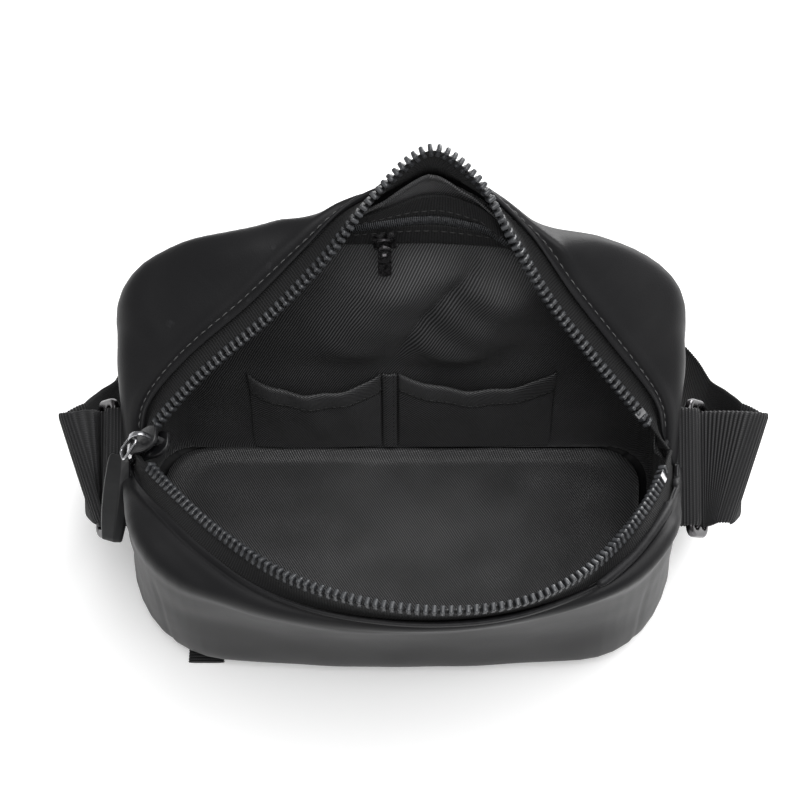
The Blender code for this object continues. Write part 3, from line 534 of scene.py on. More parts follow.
def half_outline(side, half_width, depth, radius, shares, taper=FRONT_TAPER):
    """Half of the rounded outline, from its left middle by the front (side -1) or the rear (side 1)."""
    turns = np.linspace(0.0, math.pi / 2, 9)
    inwards, forwards = radius * (1 - np.cos(turns)), radius * (1 - np.sin(turns))
    left = np.stack([-half_width + inwards, depth - forwards], axis=1)
    right = left[::-1] * [-1, 1]
    outline = np.concatenate([[[-half_width, 0.0]], left, right, [[half_width, 0.0]]])
    outline = evenly(outline, shares) * [1, side]
    outline[:, 0] *= 1 - taper * np.clip(-outline[:, 1], 0.0, None) / FRONT_DEPTH
    outline[:, 0] *= 1 + REAR_FLARE * smooth_step(outline[:, 1], 0.0, REAR_DEPTH)
    return outline


def level_ring(ring, heights):
    return np.column_stack([ring, np.broadcast_to(heights, len(ring))])


def rise_to(shares, end_height, middle_height, climb_share):
    """Height that climbs from the zipper's end to the corner and then stays level."""
    climb = np.clip(np.minimum(shares, 1 - shares) / climb_share, 0.0, 1.0)
    return end_height + (middle_height - end_height) * np.sin(climb * math.pi / 2)


def row_direction(side, shares):
    before, after = np.clip(shares - SHARE_STEP, 0.0, 1.0), np.clip(shares + SHARE_STEP, 0.0, 1.0)
    return unit(lip_line(side, after) - lip_line(side, before))


def shell_rings(side, shares):
    """The five lines that the wall is drawn through, from the base to the fabric's edge."""
    depth = FRONT_DEPTH if side < 0 else REAR_DEPTH
    corner = FOOT_RADIUS if side < 0 else CORNER_RADIUS
    base = half_outline(side, HALF_WIDTH - BASE_TUCK, depth - BASE_TUCK, CORNER_RADIUS, shares, FOOT_TAPER)
    roll = half_outline(side, HALF_WIDTH + 0.0022, depth, corner, shares, FOOT_TAPER)
    base, roll = level_ring(base, WALL_START_HEIGHT), level_ring(roll, ROLL_HEIGHT)
    waist = half_outline(side, HALF_WIDTH + 0.0010, depth + 0.001, CORNER_RADIUS, shares)
    waist = level_ring(waist, WAIST_HEIGHT)
    if side < 0:
        heights = rise_to(shares, END_SHOULDER_HEIGHT, FRONT_SHOULDER_HEIGHT, PANEL_SPLIT)
        shoulder = level_ring(half_outline(side, HALF_WIDTH, depth + 0.001, CORNER_RADIUS, shares), heights)
        for ring, bulge in ((roll, FOOT_BULGE), (waist, 0.42 * FRONT_BULGE), (shoulder, FRONT_BULGE)):
            swell = np.clip(1 - (ring[:, 0] / HALF_WIDTH) ** 2, 0.0, 1.0)
            ring[:, 1] -= bulge * swell
    else:
        heights = rise_to(shares, END_SHOULDER_HEIGHT, REAR_SHOULDER_HEIGHT, REAR_CLIMB)
        shoulder = half_outline(side, HALF_WIDTH, REAR_SHOULDER_DEPTH, CORNER_RADIUS, shares)
        shoulder = level_ring(shoulder, heights)
        shoulder[:, 2] += REAR_CROWN * np.clip(1 - (shoulder[:, 0] / HALF_WIDTH) ** 2, 0.0, 1.0) ** 0.7
    teeth = lip_line(side, shares)
    return [base, roll, waist, shoulder, teeth + FABRIC_START * across_tape(side, shares, teeth, shoulder)]


def across_tape(side, shares, teeth, shoulder):
    """From each tooth towards the shoulder, square to the row."""
    along, reach = row_direction(side, shares), shoulder - teeth
    return unit(reach - along * np.sum(reach * along, axis=1, keepdims=True))


def drawn_surface(side, shares, levels):
    """Points of the wall's surface, smooth between its rings."""
    rings = np.stack(shell_rings(side, shares))
    tangents = np.gradient(rings, axis=0)
    rows = []
    for value in levels:
        cell = min(int(value), len(rings) - 2)
        t = value - cell
        rows.append(rings[cell] * (2 * t**3 - 3 * t**2 + 1) + tangents[cell] * (t**3 - 2 * t**2 + t)
                    + rings[cell + 1] * (3 * t**2 - 2 * t**3) + tangents[cell + 1] * (t**3 - t**2))
    return np.stack(rows)


def inward(grid, side):
    return unit(np.cross(np.gradient(grid, axis=1), np.gradient(grid, axis=0))) * side


def smooth_step(values, low, high):
    t = np.clip((values - low) / (high - low), 0.0, 1.0)
    return t * t * (3 - 2 * t)


# ---- the sculpted wall ------------------------------------------------------------------------
SHARES = np.linspace(0.0, 1.0, 361)
FINE_LEVELS = np.linspace(0.0, 4.0, 481)
EDGE_MARKS = np.linspace(0.0140, 0.0, 43)
WALL_ROWS = 74


def between(table, rows, columns):
    """Values of a table at places between its rows and columns."""
    r = np.clip(rows.astype(int), 0, table.shape[0] - 2)
    c = np.clip(columns.astype(int), 0, table.shape[1] - 2)
    fr, fc = rows - r, columns - c
    if table.ndim == 3:
        fr, fc = fr[..., None], fc[..., None]
    return ((table[r, c] * (1 - fc) + table[r, c + 1] * fc) * (1 - fr)
            + (table[r + 1, c] * (1 - fc) + table[r + 1, c + 1] * fc) * fr)


class Wall:
    """One side of the mouth: the drawn surface with its folds pressed in, for every layer to lie on.

    Its rows keep an even distance from the fabric's edge in the last 14 mm, where the seams run.
    """

    def __init__(self, side, folds):
        self.side = side
        fine = drawn_surface(side, SHARES, FINE_LEVELS)
        rise = np.cumsum(np.linalg.norm(np.diff(fine, axis=0, prepend=fine[:1]), axis=2), axis=0)
        below_edge = rise - rise[-1]
        columns = []
        for column in below_edge.T:
            near = np.interp(-EDGE_MARKS, column, FINE_LEVELS)
            columns.append(np.concatenate([np.linspace(0.0, near[0], WALL_ROWS, endpoint=False), near]))
        self.levels = np.array(columns).T
        counts = np.arange(self.levels.shape[0])
        self.row_of = np.stack([np.interp(FINE_LEVELS, column, counts) for column in columns], axis=1)
        place = np.broadcast_to(np.arange(len(SHARES), dtype=float), self.levels.shape)
        grid = between(fine, self.levels / 4.0 * (len(FINE_LEVELS) - 1), place)
        self.metres_up = np.cumsum(np.linalg.norm(np.diff(grid, axis=0, prepend=grid[:1]), axis=2), axis=0)
        self.from_edge = self.metres_up[-1] - self.metres_up
        steps = np.linalg.norm(np.diff(grid, axis=1, prepend=grid[:, :1]), axis=2)
        self.metres_along = np.broadcast_to(np.cumsum(steps, axis=1)[50], self.levels.shape)
        self.normal = inward(grid, side)
        lift = self.slow_waves(grid) + self.seams()
        for fold in folds:
            lift = lift + self.fold(*fold)
        self.grid = grid - self.normal * lift[..., None]

    def slow_waves(self, grid):
        """Gentle unevenness of padded cloth, none at the base or the zipper."""
        seed = Vector((3.1, 7.7, 0.0 if self.side < 0 else 5.3))
        places = [Vector(point) for point in grid.reshape(-1, 3)]
        waves = [noise.noise(place * 26.0 + seed) + 0.4 * noise.noise(place * 61.0 + seed)
                 for place in places]
        waves = np.array(waves).reshape(grid.shape[:2])
        fade = smooth_step(self.levels, 0.2, 1.2) * smooth_step(self.from_edge, 0.002, 0.016)
        return UNEVENNESS * waves * fade

    def seams(self):
        """Turned edge at the zipper, and the faint line where the end panels join."""
        edge = self.from_edge
        hem = sum(height * np.exp(-((edge - place) / width) ** 2)
                  for height, place, width in (HEM_ROLL, HEM_GROOVE, HEM_SWELL))
        length = self.metres_along[:, -1:]
        groove = 0.0
        for share in (PANEL_SPLIT, 1 - PANEL_SPLIT):
            gap = (SHARES[None, :] - share) * length
            press = PANEL_GROOVE * np.exp(-(gap / PANEL_GROOVE_WIDTH) ** 2)
            groove = groove - press * (1 - smooth_step(self.levels, 2.2, 2.8))
        return hem + groove

    def fold(self, start, end, width, height, skew=0.0):
        """A ridge (or a valley, if height is negative) between two places given as (share, level)."""
        points = []
        for share, level in (start, end):
            column = self.column(share)
            row = int(np.argmin(np.abs(self.levels[:, column] - level)))
            points.append(np.array([self.metres_along[0, column], self.metres_up[row, column]]))
        place = np.stack([self.metres_along, self.metres_up], axis=-1) - points[0]
        run = points[1] - points[0]
        length = np.linalg.norm(run)
        t = place @ run / length**2
        bow = skew * np.sin(np.clip(t, 0, 1) * math.pi) * width * 2
        off = (place @ np.array([-run[1], run[0]])) / length - bow
        ends = smooth_step(t, -0.35, 0.25) * (1 - smooth_step(t, 0.75, 1.35))
        return height * np.exp(-(off / width) ** 2) * ends * smooth_step(self.from_edge, 0.001, 0.007)

    def column(self, share):
        return int(round(share * (len(SHARES) - 1)))

    def look_up(self, table, shares, levels):
        """Values of a table of the whole wall at (share, level)."""
        across = np.interp(shares, SHARES, np.arange(len(SHARES)))
        up = between(self.row_of, np.asarray(levels) / 4.0 * (len(FINE_LEVELS) - 1), across)
        return between(table, up, across)

    def at(self, shares, levels, depth=0.0):
        """Points at (share, level) and a depth under the surface."""
        shares, levels = np.broadcast_arrays(np.asarray(shares, float), np.asarray(levels, float))
        normal = unit(self.look_up(self.normal, shares, levels))
        depth = np.broadcast_to(depth, shares.shape)[..., None]
        return self.look_up(self.grid, shares, levels) + normal * depth

    def level_of_edge(self, share, distance):
        """The level that lies this far from the fabric's edge."""
        column = self.column(share)
        return float(np.interp(-distance, -self.from_edge[:, column], self.levels[:, column]))

    def level_of_height(self, height, share=0.5):
        column = self.column(share)
        wall = self.levels[:, column] < 2.9
        return float(np.interp(height, self.grid[wall, column, 2], self.levels[wall, column]))


FRONT = Wall(-1, [
    ((0.30, 2.1), (0.70, 2.1), 0.0150, 0.0010),
])
REAR = Wall(1, [
    ((0.35, 3.05), (0.41, 3.50), 0.0036, -0.0020, 0.4),
    ((0.645, 3.02), (0.61, 3.45), 0.0034, -0.0026, -0.4),
    ((0.54, 3.55), (0.74, 3.50), 0.0090, 0.0034, 0.3),
    ((0.64, 3.28), (0.82, 3.25), 0.0090, -0.0026, 0.2),
    ((0.26, 3.50), (0.43, 3.62), 0.0080, 0.0016, -0.2),
    ((0.19, 3.20), (0.34, 3.25), 0.0090, -0.0020, -0.2),
    ((0.10, 2.5), (0.13, 3.3), 0.0060, -0.0012),
    ((0.90, 2.5), (0.87, 3.3), 0.0060, -0.0012),
])
WALLS = {"front": FRONT, "rear": REAR}


# ---- meshes -----------------------------------------------------------------------------------
def link_object(name, mesh, material):
    item = bpy.data.objects.new(name, mesh)
    bpy.context.scene.collection.objects.link(item)
    mesh.materials.clear()
    mesh.materials.append(material)
    mesh.shade_smooth()
    return item


def grid_mesh(name, grid, closed_across=False):
    """A mesh of quads through a grid, with its own measured UV map in metres."""
    rows, columns = grid.shape[:2]
    mesh = bpy.data.meshes.new(name)
    index = np.arange(rows * columns).reshape(rows, columns)
    if closed_across:
        index = np.concatenate([index, index[:, :1]], axis=1)
    quads = np.stack([index[:-1, :-1], index[:-1, 1:], index[1:, 1:], index[1:, :-1]], axis=-1).reshape(-1, 4)
    mesh.from_pydata(grid.reshape(-1, 3).tolist(), [], quads.tolist())
    padded = grid
    if closed_across:
        padded = np.concatenate([padded, padded[:, :1]], axis=1)
    u = np.cumsum(np.linalg.norm(np.diff(padded, axis=1, prepend=padded[:, :1]), axis=2), axis=1)
    v = np.cumsum(np.linalg.norm(np.diff(padded, axis=0, prepend=padded[:1]), axis=2), axis=0)
    u = np.broadcast_to(u.mean(axis=0), u.shape)
    v = np.broadcast_to(v.mean(axis=1)[:, None], v.shape)
    uv = np.stack([u, v], axis=-1)
    corners = np.stack([uv[:-1, :-1], uv[:-1, 1:], uv[1:, 1:], uv[1:, :-1]], axis=2).reshape(-1, 2)
    layer = mesh.uv_layers.new(name="Cloth")
    layer.data.foreach_set("uv", corners.astype(np.float32).ravel())
    return mesh


def frozen(item):
    """The same object as a plain mesh, with its modifiers applied."""
    bpy.context.view_layer.update()
    graph = bpy.context.evaluated_depsgraph_get()
    mesh = bpy.data.meshes.new_from_object(item.evaluated_get(graph), preserve_all_data_layers=True,
                                           depsgraph=graph)
    item.modifiers.clear()
    item.data = mesh
    mesh.name = item.name
    return item


def facing_out(mesh):
    """Recalculates the normals of a closed mesh."""
    body = bmesh.new()
    body.from_mesh(mesh)
    bmesh.ops.remove_doubles(body, verts=body.verts, dist=1e-7)
    bmesh.ops.recalc_face_normals(body, faces=body.faces)
    body.to_mesh(mesh)
    body.free()


def cloth_sheet(name, grid, thickness, material, inner=True):
    """A sheet of cloth with thickness; the grid is its outer face, or its middle."""
    item = link_object(name, grid_mesh(name, grid), material)
    solid = item.modifiers.new("thickness", "SOLIDIFY")
    solid.thickness = thickness
    solid.offset = -1.0 if inner else 0.0
    solid.use_even_offset = False
    solid.use_quality_normals = True
    return frozen(item)


def loft(name, rings, material):
    """A tube through closed rings, with flat ends."""
    rings = np.asarray(rings, float)
    mesh = grid_mesh(name, rings, closed_across=True)
    body = bmesh.new()
    body.from_mesh(mesh)
    body.verts.ensure_lookup_table()
    count = rings.shape[1]
    body.faces.new([body.verts[k] for k in range(count)])
    body.faces.new([body.verts[len(body.verts) - 1 - k] for k in range(count)])
    bmesh.ops.recalc_face_normals(body, faces=body.faces)
    body.to_mesh(mesh)
    body.free()
    return link_object(name, mesh, material)


def curve_mesh(curve):
    """The solid that a curve's bevel makes, as a mesh."""
    item = hidden_piece(curve.name + "_line", curve)
    bpy.context.view_layer.update()
    graph = bpy.context.evaluated_depsgraph_get()
    mesh = bpy.data.meshes.new_from_object(item.evaluated_get(graph))
    bpy.data.objects.remove(item)
    return mesh


def hidden_piece(name, data):
    item = bpy.data.objects.new(name, data)
    bpy.context.scene.collection.objects.link(item)
    return item


def tube(name, points, radius, material, cyclic=False, sides=10):
    """A round wire along points."""
    curve = bpy.data.curves.new(name, "CURVE")
    curve.dimensions = "3D"
    curve.bevel_depth = radius
    curve.bevel_resolution = max(1, sides // 4)
    curve.use_fill_caps = True
    spline = curve.splines.new("POLY")
    spline.points.add(len(points) - 1)
    for point, place in zip(spline.points, points):
        point.co = (*place, 1.0)
    spline.use_cyclic_u = cyclic
    mesh = curve_mesh(curve)
    facing_out(mesh)
    return link_object(name, mesh, material)


def plate(name, outlines, thickness, bevel, material, place, segments=3):
    """A flat outline with straight sides and rounded edges; rings after the first are holes."""
    curve = bpy.data.curves.new(name, "CURVE")
    curve.dimensions = "2D"
    curve.fill_mode = "BOTH"
    curve.extrude = thickness / 2 - bevel
    curve.bevel_depth = bevel
    curve.bevel_resolution = segments
    curve.offset = -bevel
    for ring in outlines:
        spline = curve.splines.new("POLY")
        spline.points.add(len(ring) - 1)
        for point, (x, y) in zip(spline.points, ring):
            point.co = (x, y, 0.0, 1.0)
        spline.use_cyclic_u = True
    mesh = curve_mesh(curve)
    mesh.transform(place)
    facing_out(mesh)
    return link_object(name, mesh, material)


def rounded(half_width, half_height, radius, steps=8):
    ring = []
    for quarter in range(4):
        sign_x, sign_y = ((1, 1), (-1, 1), (-1, -1), (1, -1))[quarter]
        for step in range(steps):
            turn = math.pi / 2 * (quarter + step / (steps - 1))
            ring.append((sign_x * (half_width - radius) + radius * math.cos(turn),
                         sign_y * (half_height - radius) + radius * math.sin(turn)))
    return ring


# ---- repeated pieces, laid by Geometry Nodes --------------------------------------------------
def laying_tree():
    """Puts one piece at every point, turned by the point's own 'turn', with a little unevenness."""
    tree = bpy.data.node_groups.new("laid_pieces", "GeometryNodeTree")
    tree.interface.new_socket("Geometry", in_out="INPUT", socket_type="NodeSocketGeometry")
    for label, kind, value in (("Piece", "NodeSocketObject", None), ("Finish", "NodeSocketMaterial", None),
                               ("Size", FLOAT, 1.0), ("Unevenness", FLOAT, 0.0),
                               ("Seed", "NodeSocketInt", 1)):
        socket = tree.interface.new_socket(label, in_out="INPUT", socket_type=kind)
        if value is not None:
            socket.default_value = value
    tree.interface.new_socket("Geometry", in_out="OUTPUT", socket_type="NodeSocketGeometry")
    given, result = put(tree, "NodeGroupInput").outputs, put(tree, "NodeGroupOutput").inputs
    piece = put(tree, "GeometryNodeObjectInfo", {"Object": given["Piece"]}).outputs["Geometry"]
    turn = put(tree, "GeometryNodeInputNamedAttribute", {"Name": "turn"}, data_type="FLOAT_VECTOR").outputs[0]
    rotation = put(tree, "FunctionNodeEulerToRotation", {"Euler": turn}).outputs["Rotation"]
    low = maths(tree, "SUBTRACT", given["Size"], given["Unevenness"])
    high = maths(tree, "ADD", given["Size"], given["Unevenness"])
    chance = put(tree, "FunctionNodeRandomValue", {"Seed": given["Seed"]}, data_type="FLOAT")
    tree.links.new(low, chance.inputs[2])
    tree.links.new(high, chance.inputs[3])
    laid = put(tree, "GeometryNodeInstanceOnPoints",
               {"Points": given["Geometry"], "Instance": piece, "Rotation": rotation,
                "Scale": chance.outputs[1]}).outputs["Instances"]
    whole = put(tree, "GeometryNodeRealizeInstances", {"Geometry": laid}).outputs["Geometry"]
    done = put(tree, "GeometryNodeSetMaterial", {"Geometry": whole, "Material": given["Finish"]})
    tree.links.new(done.outputs["Geometry"], result["Geometry"])
    return tree


LAYING = laying_tree()


def lay_pieces(name, piece, points, frames, material, unevenness=0.0, seed=1):
    """One mesh with a copy of piece at each point; frames are the copies' X, Y and Z directions."""
    mesh = bpy.data.meshes.new(name)
    mesh.from_pydata([tuple(point) for point in points], [], [])
    turns = mesh.attributes.new("turn", "FLOAT_VECTOR", "POINT")
    angles = [Matrix(np.column_stack(axes).tolist()).to_euler() for axes in zip(*frames)]
    turns.data.foreach_set("vector", np.array([tuple(angle) for angle in angles], np.float32).ravel())
    item = link_object(name, mesh, material)
    layer = item.modifiers.new("laid", "NODES")
    layer.node_group = LAYING
    given = {"Piece": piece, "Finish": material, "Size": 1.0, "Unevenness": unevenness, "Seed": seed}
    for socket in LAYING.interface.items_tree:
        if socket.in_out == "INPUT" and socket.name in given:
            layer[socket.identifier] = given[socket.name]
    frozen(item)
    if "turn" in item.data.attributes:
        item.data.attributes.remove(item.data.attributes["turn"])
    item.data.shade_smooth()
    return item


def closed_piece(name, rings):
    """A hidden object through rings of corners, its two ends closed."""
    body = bmesh.new()
    layers = [[body.verts.new(corner) for corner in ring] for ring in rings]
    for low, high in zip(layers, layers[1:]):
        for k in range(len(low)):
            n = (k + 1) % len(low)
            body.faces.new((low[k], low[n], high[n], high[k]))
    body.faces.new(layers[0][::-1])
    body.faces.new(layers[-1])
    bmesh.ops.recalc_face_normals(body, faces=body.faces)
    mesh = bpy.data.meshes.new(name)
    body.to_mesh(mesh)
    body.free()
    return hidden_piece(name + "_pattern", mesh)


def tooth_piece():
    """A moulded tooth: foot clamped on the tape, neck and rounded head; X along the row, Y to the tape."""
    half = TOOTH_REACH / 2
    outline = [(0.00066, half), (0.00070, half * 0.45), (0.00056, half * 0.15), (0.00054, -half * 0.30),
               (0.00074, -half * 0.50), (0.00072, -half * 0.82), (0.00040, -half)]
    ring = outline + [(-x, y) for x, y in reversed(outline)]
    stations = ((-0.5, 0.82, 0.94), (-0.36, 1.0, 1.0), (0.36, 1.0, 1.0), (0.5, 0.82, 0.94))
    return closed_piece("tooth", [[(x * swell, y * shift, z * TOOTH_HEIGHT) for x, y in ring]
                                  for z, swell, shift in stations])


def stitch_piece(length, radius):
    """One visible stitch: a short thread that rises out of the cloth and dips back in."""
    rings = []
    for share in (0.0, 0.18, 0.5, 0.82, 1.0):
        arch = math.sin(share * math.pi)
        size = radius * (0.45 + 0.55 * arch ** 0.5) if 0.0 < share < 1.0 else radius * 0.25
        centre = Vector(((share - 0.5) * length, 0.0, radius * (1.15 * arch - 0.35)))
        rings.append([centre + Vector((0.0, size * math.cos(t), size * math.sin(t))) for t in HEXAGON])
    return closed_piece("stitch", rings)


TOOTH = tooth_piece()
STITCH_LENGTH = 0.0021
STITCH_AIM = 0.0004
STITCH = stitch_piece(STITCH_LENGTH, 0.00022)


def stitch_row(name, line, outward, pitch, finish=None):
    """Stitches along a line on the cloth; outward is the way that the cloth faces at each point."""
    run = run_along(line)
    count = max(2, int(run[-1] / pitch))
    marks = (np.arange(count) + 0.5) / count * run[-1]
    points = at_marks(marks, run, line)
    faces = unit(at_marks(marks, run, outward))
    along = unit(at_marks(marks + STITCH_AIM, run, line) - at_marks(marks - STITCH_AIM, run, line))
    side = unit(np.cross(faces, along))
    frames = (along, side, unit(np.cross(along, side)))
    return lay_pieces(name, STITCH, points, frames, finish or THREAD, unevenness=0.06, seed=7)


def bends_with_lip(item):
    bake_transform(item)


# ---- walls: shell, padding, lining ------------------------------------------------------------
def shell_depth(wall):
    """The shell's outer face, which rises over the tape towards the mouth."""
    return -LIP_LIFT * smooth_step(wall.levels, 2.7, 3.35)


def make_shell(word):
    wall = WALLS[word]
    grid = wall.grid + wall.normal * shell_depth(wall)[..., None]
    item = cloth_sheet(word + "_shell", outward_first(grid, wall.side), SHELL_THICKNESS, COATED)
    bends_with_lip(item)
    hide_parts(word + "_panel", f"left_{word}_gusset", f"right_{word}_gusset", word + "_lip_band")


def outward_first(grid, side):
    """The grid turned so that its faces look out of the bag."""
    return grid[:, ::-1] if side > 0 else grid


def make_padding(word):
    wall = WALLS[word]
    rows = np.linspace(0.9, 3.2, 26)[:, None]
    columns = np.linspace(0.004, 0.996, 121)[None, :]
    grid = wall.at(columns, rows, PADDING_DEPTH - 0.0022 * smooth_step(rows, 2.7, 3.2))
    item = cloth_sheet(word + "_padding_layer", outward_first(grid, wall.side), PADDING_THICKNESS, FOAM)
    bends_with_lip(item)
    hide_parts(word + "_padding")


def lining_lobes(columns, rows):
    """How far the lining of the rear wall hangs forwards: two full lobes with a slanting fold between."""
    places = REAR.at(columns, rows)
    x, z = places[..., 0], places[..., 2]
    fold_x = -0.005 + 0.026 * np.clip((z - 0.050) / 0.056, 0.0, 1.0) ** 1.7
    off = x - fold_x
    body = smooth_step(z, 0.056, 0.074) * (1 - smooth_step(z, 0.098, 0.116))
    left = 0.0062 * np.exp(-((off + 0.017) / 0.0135) ** 2)
    right = 0.0078 * np.exp(-((off - 0.019) / 0.0170) ** 2)
    valley = -0.0030 * np.exp(-(off / 0.0030) ** 2)
    ripple = 0.0007 * np.sin((x * 0.8 + z * 1.3) * 260.0) * np.exp(-((off - 0.02) / 0.03) ** 2)
    return (left + right + valley + ripple) * body


def lining_depth(levels):
    return LINING_DEPTH + (LINING_LIP_DEPTH - LINING_DEPTH) * smooth_step(levels, 2.7, 3.35)


def make_lining(word):
    wall = WALLS[word]
    rows = np.concatenate([np.linspace(0.62, 3.0, 84, endpoint=False), np.linspace(3.0, 3.93, 40)])[:, None]
    columns = np.linspace(0.0, 1.0, 301)[None, :]
    lobes = lining_lobes(columns, rows) if word == "rear" else 0.0
    places = wall.at(columns, rows)
    rumple = np.array([[noise.noise(Vector(point) * 45.0) for point in row] for row in places])
    rumple = 0.0008 * rumple * (1 - smooth_step(rows, 3.3, 3.9))
    grid = wall.at(columns, rows, lining_depth(rows) + lobes + rumple)
    item = cloth_sheet(word + "_lining_cloth", outward_first(grid, wall.side), LINING_THICKNESS, LINING)
    bends_with_lip(item)
    hand = "left" if word == "front" else "right"
    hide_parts(word + "_lining", word + "_lip_lining", hand + "_lining")


def make_floor_lining():
    """The lining over the stiff base, slack and a little rumpled, turned up at its rim."""
    _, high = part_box("floor_lining")
    shares = np.linspace(0.0, 1.0, 61)
    halves = [half_outline(side, HALF_WIDTH - 0.0062, depth - 0.0062, CORNER_RADIUS - 0.005, shares)
              for side, depth in ((-1, FRONT_DEPTH), (1, REAR_DEPTH))]
    ring = np.concatenate([halves[0], halves[1][::-1][1:-1]])
    grid = []
    for share in np.linspace(0.02, 1.0, 34):
        rows = []
        for x, y in ring * share:
            wave = noise.noise(Vector((x, y, 0.3)) * 38.0) + 0.5 * noise.noise(Vector((x, y, 0.9)) * 90.0)
            rows.append((x, y, high[2] + 0.0010 + 0.0008 * wave + 0.0030 * max(share - 0.9, 0.0) * 10))
        grid.append(rows)
    mesh = grid_mesh("floor_lining_cloth", np.array(grid), closed_across=True)
    item = close_middle(mesh, len(ring), "floor_lining_cloth", LINING, LINING_THICKNESS)
    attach(item, "bag_body")
    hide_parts("floor_lining")


def make_base_panel():
    """The coated cloth under the bag, drawn up a little at its seam."""
    shares = np.linspace(0.0, 1.0, 61)
    tuck = BASE_TUCK + 0.0006
    front, rear = [half_outline(side, HALF_WIDTH - tuck, depth - tuck, CORNER_RADIUS, shares, FOOT_TAPER)
                   for side, depth in ((-1, FRONT_DEPTH), (1, REAR_DEPTH))]
    ring = np.concatenate([front, rear[::-1][1:-1]])
    rows = []
    for share in np.concatenate([np.linspace(0.04, 0.9, 16), np.linspace(0.92, 1.0, 6)]):
        lift = 0.0012 * smooth_step(share, 0.93, 1.0)
        rows.append(np.column_stack([ring * share, np.full(len(ring), SHELL_THICKNESS + lift)]))
    mesh = grid_mesh("base_cloth", np.array(rows), closed_across=True)
    item = close_middle(mesh, len(ring), "base_cloth", COATED, SHELL_THICKNESS)
    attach(item, "bag_body")
    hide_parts("base_panel")


def close_middle(mesh, count, name, material, thickness):
    """Fills the hole in the middle of a ring of cloth and gives the cloth its thickness, downwards."""
    body = bmesh.new()
    body.from_mesh(mesh)
    body.verts.ensure_lookup_table()
    body.faces.new([body.verts[k] for k in range(count)])
    layer = body.loops.layers.uv["Cloth"]
    for face in body.faces:
        for loop in face.loops:
            loop[layer].uv = loop.vert.co.xy
    bmesh.ops.recalc_face_normals(body, faces=body.faces)
    if sum(face.normal.z for face in body.faces) < 0:
        bmesh.ops.reverse_faces(body, faces=body.faces)
    body.to_mesh(mesh)
    body.free()
    item = link_object(name, mesh, material)
    item.modifiers.new("thickness", "SOLIDIFY").thickness = thickness
    return frozen(item)


# ---- zipper -----------------------------------------------------------------------------------
def row_frame(side, shares):
    """Row of teeth with its directions: along the row, across to the tape, and square to both."""
    teeth, along = lip_line(side, shares), row_direction(side, shares)
    away = across_tape(side, shares, teeth, shell_rings(side, shares)[3])
    return teeth, along, away, unit(np.cross(along, away))


def make_tape(word):
    """The woven tape from the teeth to under the turned edge of the shell, with a bead beside the teeth."""
    wall = WALLS[word]
    shares = np.linspace(0.0, 1.0, 281)
    teeth, _, away, square = row_frame(wall.side, shares)
    edge = wall.at(shares, 4.0)
    under = wall.at(shares, np.array([wall.level_of_edge(s, 0.0045) for s in shares]))
    rows = [under, edge]
    for t in np.linspace(0.2, 1.0, 9):
        bead = 0.00045 * math.exp(-((t - 0.86) / 0.10) ** 2)
        rows.append(edge * (1 - t) + (teeth + away * 0.0003) * t - square * bead)
    item = cloth_sheet(word + "_tape_weave", np.array(rows), TAPE_THICKNESS, TAPE, inner=False)
    facing_out(item.data)
    bends_with_lip(item)
    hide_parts(word + "_zip_tape")


def make_teeth(word):
    wall = WALLS[word]
    length = run_along(lip_line(wall.side, np.linspace(0, 1, 300)))[-1]
    count = int((TEETH_END - TEETH_START) * length / TOOTH_PITCH)
    teeth, along, away, square = row_frame(wall.side, np.linspace(TEETH_START, TEETH_END, count))
    square = np.cross(along, away)
    item = lay_pieces(word + "_teeth", TOOTH, teeth, (along, away, unit(square)), TEETH, 0.015, 3)
    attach(item, word + "_lip")
    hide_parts(word + "_zip_teeth")


def make_edge_stitches(word):
    """The row of stitches along the turned edge beside the zipper."""
    wall = WALLS[word]
    shares = np.linspace(0.03, 0.97, 400)
    levels = np.array([wall.level_of_edge(s, 0.0032) for s in shares])
    line = wall.at(shares, levels, -LIP_LIFT - 0.00005)
    outward = -wall.look_up(wall.normal, shares, levels)
    # Stitched in the light thread whose colour is a painted glint.
    item = stitch_row(word + "_edge_stitches", line, outward, 0.0031, GLINT_PAINTED_THREAD)
    bends_with_lip(item)


def slider_place():
    """The slider's own frame: X along the zipper, Y across it, Z out of the bag."""
    rise, run = math.sin(SLIDER_FACING), math.cos(SLIDER_FACING)
    turn = Matrix(((rise, 0, -run), (0, 1, 0), (run, 0, rise))).to_4x4()
    return Matrix.Translation((-SLIDER_RADIUS, 0.0, MOUTH_HEIGHT + SLIDER_RISE)) @ turn


